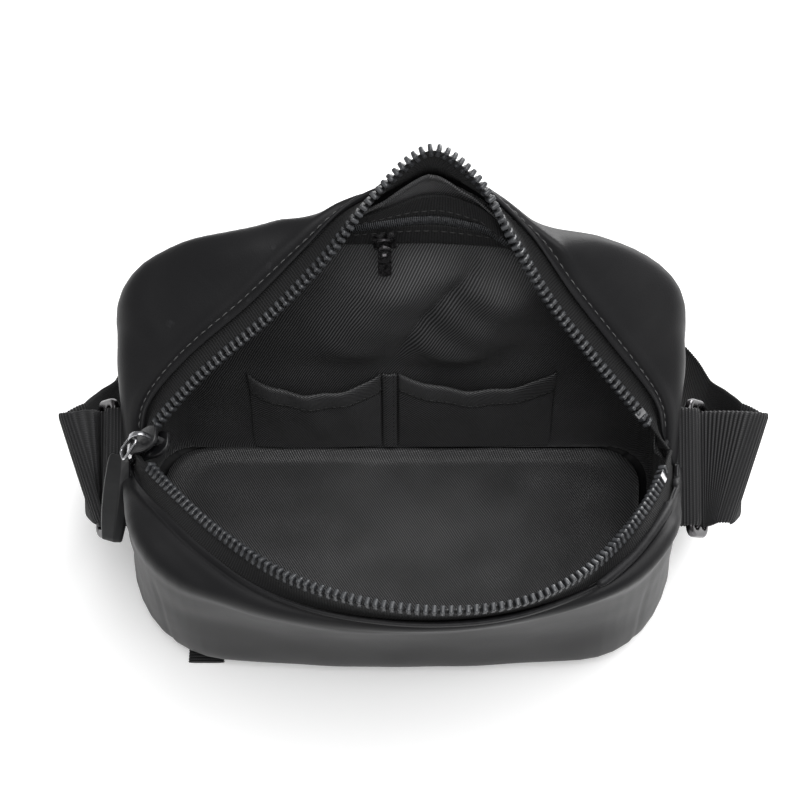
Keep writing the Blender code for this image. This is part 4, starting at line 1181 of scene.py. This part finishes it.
def make_slider():
    """Two shield-shaped plates with rounded edges, the wedge between them, and the bail."""
    place = slider_place()
    length, width = SLIDER_LENGTH, SLIDER_WIDTH
    half = [(length / 2, width * 0.16), (length * 0.46, width * 0.34), (length * 0.22, width * 0.49),
            (0.0, width * 0.47), (-length * 0.30, width * 0.36), (-length / 2 + 0.0008, width * 0.345),
            (-length / 2, width * 0.26)]
    ring = half + [(x, -y) for x, y in reversed(half)]
    body = None
    for sign, word in ((1, "top"), (-1, "bottom")):
        lift = Matrix.Translation((0.0, 0.0, sign * (SLIDER_GAP + SLIDER_PLATE) / 2))
        made = plate(f"slider_{word}_plate", [ring], SLIDER_PLATE, 0.00045, ENAMEL, place @ lift)
        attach(made, "slider")
        body = body or made
    wedge = [(length * 0.42, 0.0), (length * 0.30, width * 0.12), (length * 0.06, width * 0.07),
             (length * 0.02, 0.0), (length * 0.06, -width * 0.07), (length * 0.30, -width * 0.12)]
    made = plate("slider_wedge", [wedge], SLIDER_GAP + 0.0004, 0.0001, ENAMEL, place, 1)
    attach(made, "slider")
    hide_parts("zip_slider")
    top = SLIDER_GAP / 2 + SLIDER_PLATE
    reach = SLIDER_LENGTH * 0.24
    profile = rounded(0.0008, 0.0004, 0.0003, 4)
    arch = [(reach, -0.0004), (reach, 0.0012), (reach * 0.86, 0.0026), (reach * 0.5, 0.0036), (0.0, 0.0038),
            (-reach * 0.5, 0.0036), (-reach * 0.86, 0.0026), (-reach, 0.0012), (-reach, -0.0004)]
    line = curve_through(np.array(arch), 40)
    rings = []
    for k, (x, z) in enumerate(line):
        along = unit(line[min(k + 1, len(line) - 1)] - line[max(k - 1, 0)])
        corners = [Vector((x - along[1] * h, w, top + z + along[0] * h)) for w, h in profile]
        rings.append([tuple(place @ corner) for corner in corners])
    bail = loft("slider_bail_bar", rings, BRIGHT)
    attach(bail, "slider")
    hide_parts("zip_slider_bail")


def link_frame():
    """Where the link hangs from the bail, the way down along it, and its crosswise direction."""
    top = SLIDER_GAP / 2 + SLIDER_PLATE
    hinge = slider_place() @ Vector((0.0, 0.0, top + 0.0011 + BAIL_RISE - BAIL_WIRE - LINK_WIRE - 0.0003))
    down = (LINK_END - hinge).normalized()
    side = Vector((0.0, 1.0, 0.0)).cross(down).cross(down).normalized()
    return hinge, down, side


def make_link_and_pull():
    hinge, down, side = link_frame()
    ring = rounded(LINK_WIDTH / 2, LINK_LENGTH / 2, 0.0014, 6)
    points = [hinge + side * x + down * (LINK_LENGTH / 2 + y) for x, y in ring]
    link = tube("bright_link", points, LINK_THREAD, BRIGHT, cyclic=True, sides=12)
    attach(link, "link")
    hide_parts("pull_link")
    start = hinge + down * (LINK_LENGTH + 2 * LINK_WIRE + 0.0006)
    down = (PULL_END - start).normalized()
    side = Vector((math.cos(PULL_FACING), -math.sin(PULL_FACING), 0.0))
    out = side.cross(down).normalized()
    out = out if out.y < 0 else -out
    side = down.cross(out)
    rings = []
    stations = [(-0.060, 0.58, 0.34, -0.10), (-0.045, 0.68, 0.48, -0.12), (0.0, 0.80, 0.60, -0.14),
                (0.10, 0.88, 0.74, -0.16), (0.28, 0.96, 0.92, -0.18), (0.48, 1.0, 1.0, -0.18),
                (0.66, 0.98, 1.0, -0.16), (0.82, 0.90, 0.95, -0.15), (0.955, 0.79, 0.88, -0.14),
                (0.99, 0.76, 0.78, -0.14), (1.0, 0.70, 0.60, -0.13)]
    for along, width, thick, ridge in stations:
        centre = start + down * (along * PULL_LENGTH)
        half, deep = width * PULL_WIDTH / 2, thick * PULL_THICKNESS / 2
        edge = 0.22 * half
        crest = ridge * PULL_WIDTH
        profile = [(-half + edge, -deep * 0.85), (-half, -deep * 0.62), (-half, deep * 0.10),
                   (-half + edge * 0.6, deep * 0.34), (crest - edge * 0.5, deep * 0.94), (crest, deep),
                   (crest + edge * 0.6, deep * 0.93), (half - edge * 0.5, deep * 0.36), (half, deep * 0.12),
                   (half, -deep * 0.62), (half - edge, -deep * 0.85)]
        rings.append([tuple(centre + side * x + out * z) for x, z in profile])
    pull = loft("faceted_pull", rings, RUBBER)
    for polygon in pull.data.polygons:
        polygon.use_smooth = False
    bevel = pull.modifiers.new("soft_edges", "BEVEL")
    bevel.width = 0.00022
    bevel.segments = 2
    bevel.limit_method = "ANGLE"
    bevel.angle_limit = math.radians(16)
    frozen(pull)
    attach(pull, "pull")
    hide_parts("rubber_pull")


# ---- pockets ----------------------------------------------------------------------------------
def pocket_depth(columns, share_up, word):
    """How deep under the wall the pocket's cloth lies: full at the mouth, flat at its sewn edges."""
    low, high = POCKET_SPANS[word]
    across = np.clip((columns - low) / (high - low), 0.0, 1.0)
    belly = np.sin(across * math.pi) ** 0.7
    lean = 0.75 if word == "right" else 1.0
    fall = (0.12 + 0.88 * share_up ** 1.25) * belly * POCKET_MOUTH * lean
    ripple = 0.0005 * np.sin(across * 21.0 + share_up * 5.0) * share_up * belly
    return LINING_DEPTH + LINING_THICKNESS + 0.0009 + fall + ripple


POCKET_SPANS = {"left": (POCKET_SIDE, POCKET_SPLIT - 0.012), "right": (POCKET_SPLIT + 0.012, 1 - POCKET_SIDE)}


def make_slip_pocket(word):
    low, high = POCKET_SPANS[word]
    columns = np.linspace(low, high, 91)[None, :]
    bottom, top = REAR.level_of_height(POCKET_FLOOR), REAR.level_of_height(POCKET_FLOOR + POCKET_HEIGHT)
    up = np.linspace(0.0, 1.0, 61)[:, None]
    rows = bottom + (top - bottom) * up
    grid = REAR.at(columns, rows, pocket_depth(columns, up, word))
    cloth = cloth_sheet(word + "_pocket_cloth", outward_first(grid, 1), LINING_THICKNESS, LINING, inner=False)
    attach(cloth, "bag_body")
    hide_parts(word + "_slip_pocket")
    hem_up = 1.0 - HEM_WIDTH / POCKET_HEIGHT
    bead = 0.00075
    sections = [(hem_up, bead), (hem_up + 0.01, bead * 1.15), (0.985, bead * 1.2), (1.004, bead * 0.8),
                (1.010, 0.0), (1.004, -bead * 0.8), (0.985, -bead * 1.2), (hem_up + 0.01, -bead * 1.15),
                (hem_up, -bead)]
    hem_rows = []
    for value, shift in sections:
        level = bottom + (top - bottom) * value
        hem_rows.append(REAR.at(columns[0], level, pocket_depth(columns[0], value, word) + shift))
    hem = loft(word + "_pocket_binding", np.array(hem_rows).transpose(1, 0, 2), LINING)
    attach(hem, "bag_body")
    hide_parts(word + "_pocket_hem")
    value = hem_up + 0.018
    level = bottom + (top - bottom) * value
    line = REAR.at(columns[0], level, pocket_depth(columns[0], value, word) + bead * 1.15)
    outward = REAR.look_up(REAR.normal, columns[0], np.full(91, level))
    stitches = stitch_row(word + "_pocket_stitches", line, outward, SEAM_PITCH)
    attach(stitches, "bag_body")


def make_divider():
    """The seam tape between the pockets, with a row of stitches down each edge."""
    columns = POCKET_SPLIT + np.linspace(-DIVIDER_HALF, DIVIDER_HALF, 9)[None, :]
    bottom = REAR.level_of_height(POCKET_FLOOR)
    top = REAR.level_of_height(POCKET_FLOOR + POCKET_HEIGHT + 0.001)
    rows = np.linspace(bottom, top, 60)[:, None]
    crown = 0.0005 * (1 - (np.linspace(-1, 1, 9)[None, :]) ** 2)
    grid = REAR.at(columns, rows, LINING_DEPTH + LINING_THICKNESS + 0.0011 + crown)
    item = cloth_sheet("divider_tape", outward_first(grid, 1), LINING_THICKNESS, LINING)
    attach(item, "bag_body")
    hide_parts("pocket_divider")
    for sign, word in ((-1, "left"), (1, "right")):
        at = np.full(60, POCKET_SPLIT + sign * DIVIDER_HALF * 0.6)
        levels = np.linspace(bottom, top, 60)
        line = REAR.at(at, levels, LINING_DEPTH + LINING_THICKNESS + 0.0017)
        seam = stitch_row(f"divider_{word}_stitches", line, REAR.look_up(REAR.normal, at, levels), SEAM_PITCH)
        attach(seam, "bag_body")


def make_zip_pocket():
    """The zipped pocket high on the rear lining: tapes, their stitches and the fine coil."""
    columns = np.linspace(POCKET_ZIP_START - 0.005, POCKET_ZIP_END + 0.005, 71)
    under = lining_depth(POCKET_ZIP_LEVEL) + LINING_THICKNESS + 0.0008
    ends = REAR.at(np.array([0.5, 0.5]), np.array([POCKET_ZIP_LEVEL - 0.1, POCKET_ZIP_LEVEL + 0.1]))
    gap = 0.0019 * 0.2 / np.linalg.norm(ends[1] - ends[0])
    for word, near, far in (("upper", gap, POCKET_TAPE_LEVELS + 0.10), ("lower", -gap, -POCKET_TAPE_LEVELS)):
        rows = POCKET_ZIP_LEVEL + np.linspace(near, far, 9)[:, None]
        lobe = lining_lobes(columns[None, :], rows)
        grid = REAR.at(columns[None, :], rows, under + lobe)
        grid = grid if word == "upper" else grid[::-1]
        item = cloth_sheet(f"pocket_{word}_tape_weave", outward_first(grid, 1), TAPE_THICKNESS, TAPE)
        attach(item, "rear_lip")
        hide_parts(f"pocket_zip_{word}_tape")
        edge = POCKET_ZIP_LEVEL + near * 2.1
        line = REAR.at(columns, np.full(71, edge), under + TAPE_THICKNESS)
        outward = REAR.look_up(REAR.normal, columns, np.full(71, edge))
        seam = stitch_row(f"pocket_{word}_tape_stitches", line, outward, SEAM_PITCH)
        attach(seam, "rear_lip")
    count = 92
    marks = np.linspace(POCKET_ZIP_START, POCKET_ZIP_END, count)
    centre = REAR.at(marks, np.full(count, POCKET_ZIP_LEVEL), under + 0.0006)
    into = unit(REAR.look_up(REAR.normal, marks, np.full(count, POCKET_ZIP_LEVEL)))
    along = unit(np.gradient(centre, axis=0))
    frames = (along, unit(np.cross(into, along)), into)
    coil = lay_pieces("pocket_coil", coil_piece(), centre, frames, TEETH, unevenness=0.02, seed=5)
    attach(coil, "rear_lip")
    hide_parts("pocket_zip_chain")


def coil_piece():
    """One turn of the small coil: a bent loop across the chain."""
    rings = []
    for t in np.linspace(0.0, math.pi, 7):
        centre = Vector((0.0, COIL_HALF_WIDTH * math.cos(t), COIL_RISE * math.sin(t)))
        outward = Vector((0.0, math.cos(t), math.sin(t)))
        rings.append([centre + (Vector((1.0, 0, 0)) * math.cos(a) + outward * math.sin(a)) * COIL_WIRE
                      for a in HEXAGON])
    return closed_piece("coil", rings)


# ---- strap ------------------------------------------------------------------------------------
def strap_axes():
    across = Vector((0.0, math.cos(STRAP_TILT), math.sin(STRAP_TILT)))
    return across, Vector((0.0, -math.sin(STRAP_TILT), math.cos(STRAP_TILT)))


def slanted(hand, share=1.0):
    """The webbing's crosswise direction, its upper edge standing further out than its lower one."""
    across, _ = strap_axes()
    return (across + Vector((hand * STRAP_SLANT * share, 0.0, 0.0))).normalized()


def strap_point(hand, x, rise):
    """A point of the strap's side view: x out from the end panel, rise along its outer face."""
    _, out = strap_axes()
    return Vector((hand * (HALF_WIDTH + 0.001 + x), TAB_CENTRE.y, TAB_CENTRE.z)) + out * rise


def bar_points():
    step = (math.cos(BUCKLE_DROOP) * BUCKLE_PITCH / 2, -math.sin(BUCKLE_DROOP) * BUCKLE_PITCH / 2)
    return [(TAB_REACH + step[0] * n, step[1] * n) for n in range(3)]


def loop_radius():
    return BAR_THICKNESS / 2 * math.sqrt(2) + STRAP_CLEARANCE + WEBBING_THICKNESS / 2


def webbing(name, centres, ways, samples_per_rib=4, width=WEBBING_WIDTH):
    """Ribbed webbing along a line of centres; ways is its crosswise direction at each of them."""
    run = run_along(centres)
    count = int(run[-1] / RIB_PITCH * samples_per_rib)
    marks = np.linspace(0.0, run[-1], count)
    centre = at_marks(marks, run, centres)
    across = unit(at_marks(marks, run, ways))
    along = unit(np.gradient(centre, axis=0))
    face = unit(np.cross(along, across))
    half, thick = width / 2, WEBBING_THICKNESS / 2
    section = [(-half + 0.0004, 0.55), (-half + 0.0016, 0.92), (-half * 0.5, 1.0), (0.0, 1.0),
               (half * 0.5, 1.0), (half - 0.0016, 0.92), (half - 0.0004, 0.55), (half, 0.0),
               (half - 0.0004, -0.55), (half - 0.0016, -0.92), (half * 0.5, -1.0), (0.0, -1.0),
               (-half * 0.5, -1.0), (-half + 0.0016, -0.92), (-half + 0.0004, -0.55), (-half, 0.0)]
    wave = 1.0 + 0.14 * np.cos(2 * math.pi * marks / RIB_PITCH)
    nudge = 0.00012 * np.cos(2 * math.pi * marks / RIB_PITCH)
    rings = np.stack([centre + across * (w + math.copysign(1.0, w) * nudge[:, None] * (abs(w) > half * 0.9))
                      + face * (thick * h * wave)[:, None] for w, h in section], axis=1)
    item = loft(name, rings, WEB)
    layer = item.data.uv_layers["Cloth"]
    ring_count = len(section)
    places = np.array([w for w, _ in section])
    loops = np.empty(len(item.data.loops), np.int32)
    item.data.loops.foreach_get("vertex_index", loops)
    uv = np.stack([marks[loops // ring_count], places[loops % ring_count]], axis=1)
    layer.data.foreach_set("uv", uv.astype(np.float32).ravel())
    return item, run[-1]


def make_strap_tab(word):
    """The webbing loop sewn into the end seam, round the buckle's inner bar."""
    hand = HANDS[word]
    radius = loop_radius()
    bar_x, bar_rise = bar_points()[0]
    turns = np.linspace(math.pi / 2, -math.pi / 2, 14)
    view = [(-0.0006, radius * 0.95), (0.0012, radius)]
    view += [(bar_x + radius * math.cos(t), bar_rise + radius * math.sin(t)) for t in turns]
    view += [(0.0012, -radius), (-0.0006, -radius * 0.95)]
    centres = np.array([tuple(strap_point(hand, x, rise)) for x, rise in view])
    across, _ = strap_axes()
    item, _ = webbing(word + "_tab_webbing", centres, np.tile(tuple(across), (len(centres), 1)), 6)
    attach(item, "bag_body")
    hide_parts(word + "_strap_tab")


def make_buckle(word):
    """Die-cast three-bar buckle with rounded bars."""
    hand = HANDS[word]
    across, _ = strap_axes()
    (inner_x, inner_rise), _, (outer_x, outer_rise) = bar_points()
    short = (strap_point(hand, outer_x, outer_rise) - strap_point(hand, inner_x, inner_rise)).normalized()
    centre = strap_point(hand, (inner_x + outer_x) / 2, (inner_rise + outer_rise) / 2)
    half_short = BUCKLE_PITCH / 2 + BAR_THICKNESS / 2
    half_long = WEBBING_WIDTH / 2 + STRAP_CLEARANCE + BUCKLE_RAIL
    slot = (BUCKLE_PITCH / 2 - BAR_THICKNESS) / 2
    outlines = [rounded(half_long, half_short, 0.0042, 9)]
    for sign in (-1, 1):
        hole = rounded(WEBBING_WIDTH / 2 + STRAP_CLEARANCE, slot, 0.0012, 5)
        outlines.append([(x, y + sign * BUCKLE_PITCH / 4) for x, y in hole])
    normal = across.cross(short)
    turn = Matrix((across, short, normal)).transposed().to_4x4()
    place = Matrix.Translation(centre) @ turn
    item = plate(word + "_die_cast_buckle", outlines, BAR_THICKNESS, 0.0009, GUNMETAL, place)
    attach(item, word + "_hardware")
    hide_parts(word + "_buckle")


def strap_line(word):
    """From round the buckle's outer bar, out over the roll, down on its edge and round behind the bag."""
    hand, reach = HANDS[word], STRAP_REACH[word]
    across = slanted(hand, 1.0)
    radius = loop_radius()
    bar_x, bar_rise = bar_points()[2]
    view = [(bar_x + radius * math.cos(t), bar_rise + radius * math.sin(t))
            for t in np.linspace(-0.90 * math.pi, -1.50 * math.pi, 10)]
    roll_x = TAB_REACH + reach - STRAP_ROLL
    view += [(roll_x + STRAP_ROLL * math.sin(t), STRAP_ROLL_RISE + STRAP_ROLL * math.cos(t))
             for t in np.linspace(-0.1 * math.pi, math.pi / 2, 10)]
    points = [tuple(strap_point(hand, x, rise)) for x, rise in view]
    ways = [tuple(slanted(hand, min(1.0, max(0.0, (x - bar_x) / (roll_x - bar_x))))) for x, _ in view]
    start = strap_point(hand, TAB_REACH + reach, STRAP_ROLL_RISE - STRAP_JOIN_GAP)
    out = abs(start.x)
    rest = HANK_REST
    points += [tuple(start), (hand * (out - 0.001), start.y + 0.007, 0.044),
               (hand * (out - 0.004), 0.028, 0.030), (hand * (out - 0.008), 0.042, rest + 0.001),
               (hand * (out - 0.013), 0.056, rest)]
    ways += [tuple(across), (0.0, 0.80, 0.60), (0.0, 0.55, 0.84), (0.0, 0.18, 0.98), (0, 0, 1)]
    if word == "left":
        points += [(hand * (out - 0.024), 0.0610, rest),
                   (-HANK_HALF_LENGTH - 0.004, hank_strand(-1)[-1][1], rest)]
    else:
        points += [(hand * (out - 0.0215), 0.0670, rest)]
    ways += [(0, 0, 1)] * (len(points) - len(ways))
    count = 260
    marks = run_along(np.array(points))
    dense = curve_through(points, count)
    return dense, unit(at_marks(np.linspace(0.0, marks[-1], count), marks, np.array(ways, float)))


def hank_strand(sign):
    """One half of the wound strap from the inside out: sign 1 ends at the right, -1 at the left."""
    turns = 4 * math.pi if sign > 0 else 3.5 * math.pi + 0.35
    angle = np.linspace(0.0, turns, 900)
    radius = HANK_INNER + HANK_TURN * angle / (2 * math.pi)
    sweep = np.clip(np.cos(angle) * 5.0, -1.0, 1.0) * HANK_HALF_LENGTH
    x, y = sweep + radius * np.cos(angle), -radius * np.sin(angle)
    return np.stack([sign * x, HANK_MIDDLE_Y + sign * y, np.full(len(x), HANK_REST)], axis=1)


def make_strap():
    """The long strap: an end on each buckle, and the rest wound on its edge behind the bag."""
    lengths = {}
    lines = {word: strap_line(word) for word in HANDS}
    right, left = hank_strand(1), hank_strand(-1)
    core = np.linspace(left[0], right[0], 40)[3:-3]
    coil = np.concatenate([left[::-1], core, right])
    ends = [lines["left"][0][-1], lines["right"][0][-1]]
    coil = np.concatenate([[ends[0]], coil, [ends[1]]])
    smooth = evenly(coil, np.linspace(0.0, 1.0, 1400))
    for _ in range(12):
        smooth[1:-1] = (smooth[:-2] + 2 * smooth[1:-1] + smooth[2:]) / 4
    item, lengths["coil"] = webbing("wound_strap", smooth, np.tile((0.0, 0.0, 1.0), (len(smooth), 1)), 3)
    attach(item, "bag_body")
    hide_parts("strap_hank")
    for word in HANDS:
        centres, ways = lines[word]
        item, length = webbing(word + "_strap_webbing", centres, ways, 5)
        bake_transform(item)
        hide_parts(word + "_strap_end", word + "_strap_run")
        lengths[word] = length
    return lengths


def make_tie_and_tab():
    """The band round the wound strap, its end sewn over its start, and the tab under the front seam."""
    ring = rounded(HANK_DEPTH / 2 + 0.0012, WEBBING_WIDTH / 2 + 0.0012, 0.0022, 7)
    ring = ring[4:] + ring[:4] + [ring[4]]
    centres = np.array([(0.0, HANK_MIDDLE_Y + y, HANK_REST + z) for y, z in ring])
    centres = evenly(centres, np.linspace(0.0, 1.0, 300))
    item, length = webbing("tie_webbing", centres, np.tile((1.0, 0.0, 0.0), (300, 1)), 4, TIE_WIDTH)
    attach(item, "bag_body")
    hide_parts("strap_tie")
    low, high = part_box("base_seam_tab")
    middle, height = (low[0] + high[0]) / 2, (low[2] + high[2]) / 2
    line = np.array([(middle, y, height) for y in np.linspace(high[1], low[1], 30)])
    item, _ = webbing("seam_tab_webbing", line, np.tile((1.0, 0.0, 0.0), (30, 1)), 4, high[0] - low[0])
    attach(item, "bag_body")
    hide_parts("base_seam_tab")


# ---- finish the frame's own nodes -------------------------------------------------------------
def dress_frame_nodes():
    slots = {entry["node"]: entry["material_slot"] for entry in frame["record"]["subparts"]}
    for name, item in frame["nodes"].items():
        material = SLOT_FINISH[slots[name]]
        item.data.materials.clear()
        item.data.materials.append(material)


# name, place, point aimed at, size in metres, watts
LIGHTS = (
    ("overhead_box", (0.32, 0.02, 1.30), (0.0, 0.0, 0.05), 1.2, 15.5),
    ("front_fill", (0.05, -0.75, 1.45), (0.0, -0.05, 0.03), 0.8, 10.0),
    ("rear_strip", (0.55, 0.95, 0.42), (0.02, 0.02, 0.10), 0.7, 15.0),
)
CAMERA_HEIGHT = math.radians(60.0)
CAMERA_DISTANCE = 0.65
CAMERA_AIM = 0.06


def make_studio():
    """Pale floor, soft light from a large overhead box, and fill from all round."""
    mesh = bpy.data.meshes.new("studio_floor")
    mesh.from_pydata([(-3, -3, 0), (3, -3, 0), (3, 3, 0), (-3, 3, 0)], [], [(0, 1, 2, 3)])
    floor = bpy.data.objects.new("studio_floor", mesh)
    bpy.context.scene.collection.objects.link(floor)
    floor.location.z = -0.0002
    paint = bpy.data.materials.new("floor_paint")
    paint.use_nodes = True
    shader = paint.node_tree.nodes["Principled BSDF"]
    shader.inputs["Base Color"].default_value = (0.93, 0.93, 0.93, 1.0)
    shader.inputs["Roughness"].default_value = 0.9
    shader.inputs["Specular IOR Level"].default_value = 0.1
    shader.inputs["Emission Color"].default_value = (1.0, 1.0, 1.0, 1.0)
    shader.inputs["Emission Strength"].default_value = 0.20
    mesh.materials.append(paint)
    world = bpy.data.worlds.new("studio_world")
    bpy.context.scene.world = world
    world.use_nodes = True
    world.node_tree.nodes["Background"].inputs["Color"].default_value = (1.0, 1.0, 1.0, 1.0)
    world.node_tree.nodes["Background"].inputs["Strength"].default_value = 0.34
    for name, place, aim, size, power in LIGHTS:
        light = bpy.data.lights.new(name, "AREA")
        light.size = size
        light.energy = power
        lamp = bpy.data.objects.new(name, light)
        bpy.context.scene.collection.objects.link(lamp)
        lamp.location = place
        lamp.rotation_euler = (Vector(aim) - Vector(place)).to_track_quat("-Z", "Y").to_euler()


def make_camera():
    """From 60 degrees above the front, level, with the mouth facing it."""
    data = bpy.data.cameras.new("front_view")
    camera = bpy.data.objects.new("front_view", data)
    bpy.context.scene.collection.objects.link(camera)
    back, up = CAMERA_DISTANCE * math.cos(CAMERA_HEIGHT), CAMERA_DISTANCE * math.sin(CAMERA_HEIGHT)
    camera.location = (0.0, -back, CAMERA_AIM + up)
    camera.rotation_euler = (math.pi / 2 - CAMERA_HEIGHT, 0.0, 0.0)
    data.sensor_width = 36.0
    data.lens = 90.71
    data.shift_x = -0.0025
    data.shift_y = 0.0849
    data.clip_start, data.clip_end = 0.02, 20.0
    bpy.context.scene.camera = camera
    bpy.context.scene.view_settings.view_transform = "Standard"


def main():
    dress_frame_nodes()
    for word in ("front", "rear"):
        make_shell(word)
        make_padding(word)
        make_lining(word)
        make_tape(word)
        make_teeth(word)
    make_edge_stitches("rear")
    make_floor_lining()
    make_base_panel()
    make_tie_and_tab()
    make_slider()
    make_link_and_pull()
    for word in HANDS:
        make_slip_pocket(word)
        make_strap_tab(word)
        make_buckle(word)
    make_divider()
    make_zip_pocket()
    lengths = make_strap()
    print("strap lengths", {key: round(value, 4) for key, value in lengths.items()})
    for pattern in ("tooth_pattern", "stitch_pattern", "coil_pattern"):
        bpy.data.objects.remove(bpy.data.objects[pattern])
    make_studio()
    make_camera()


main()
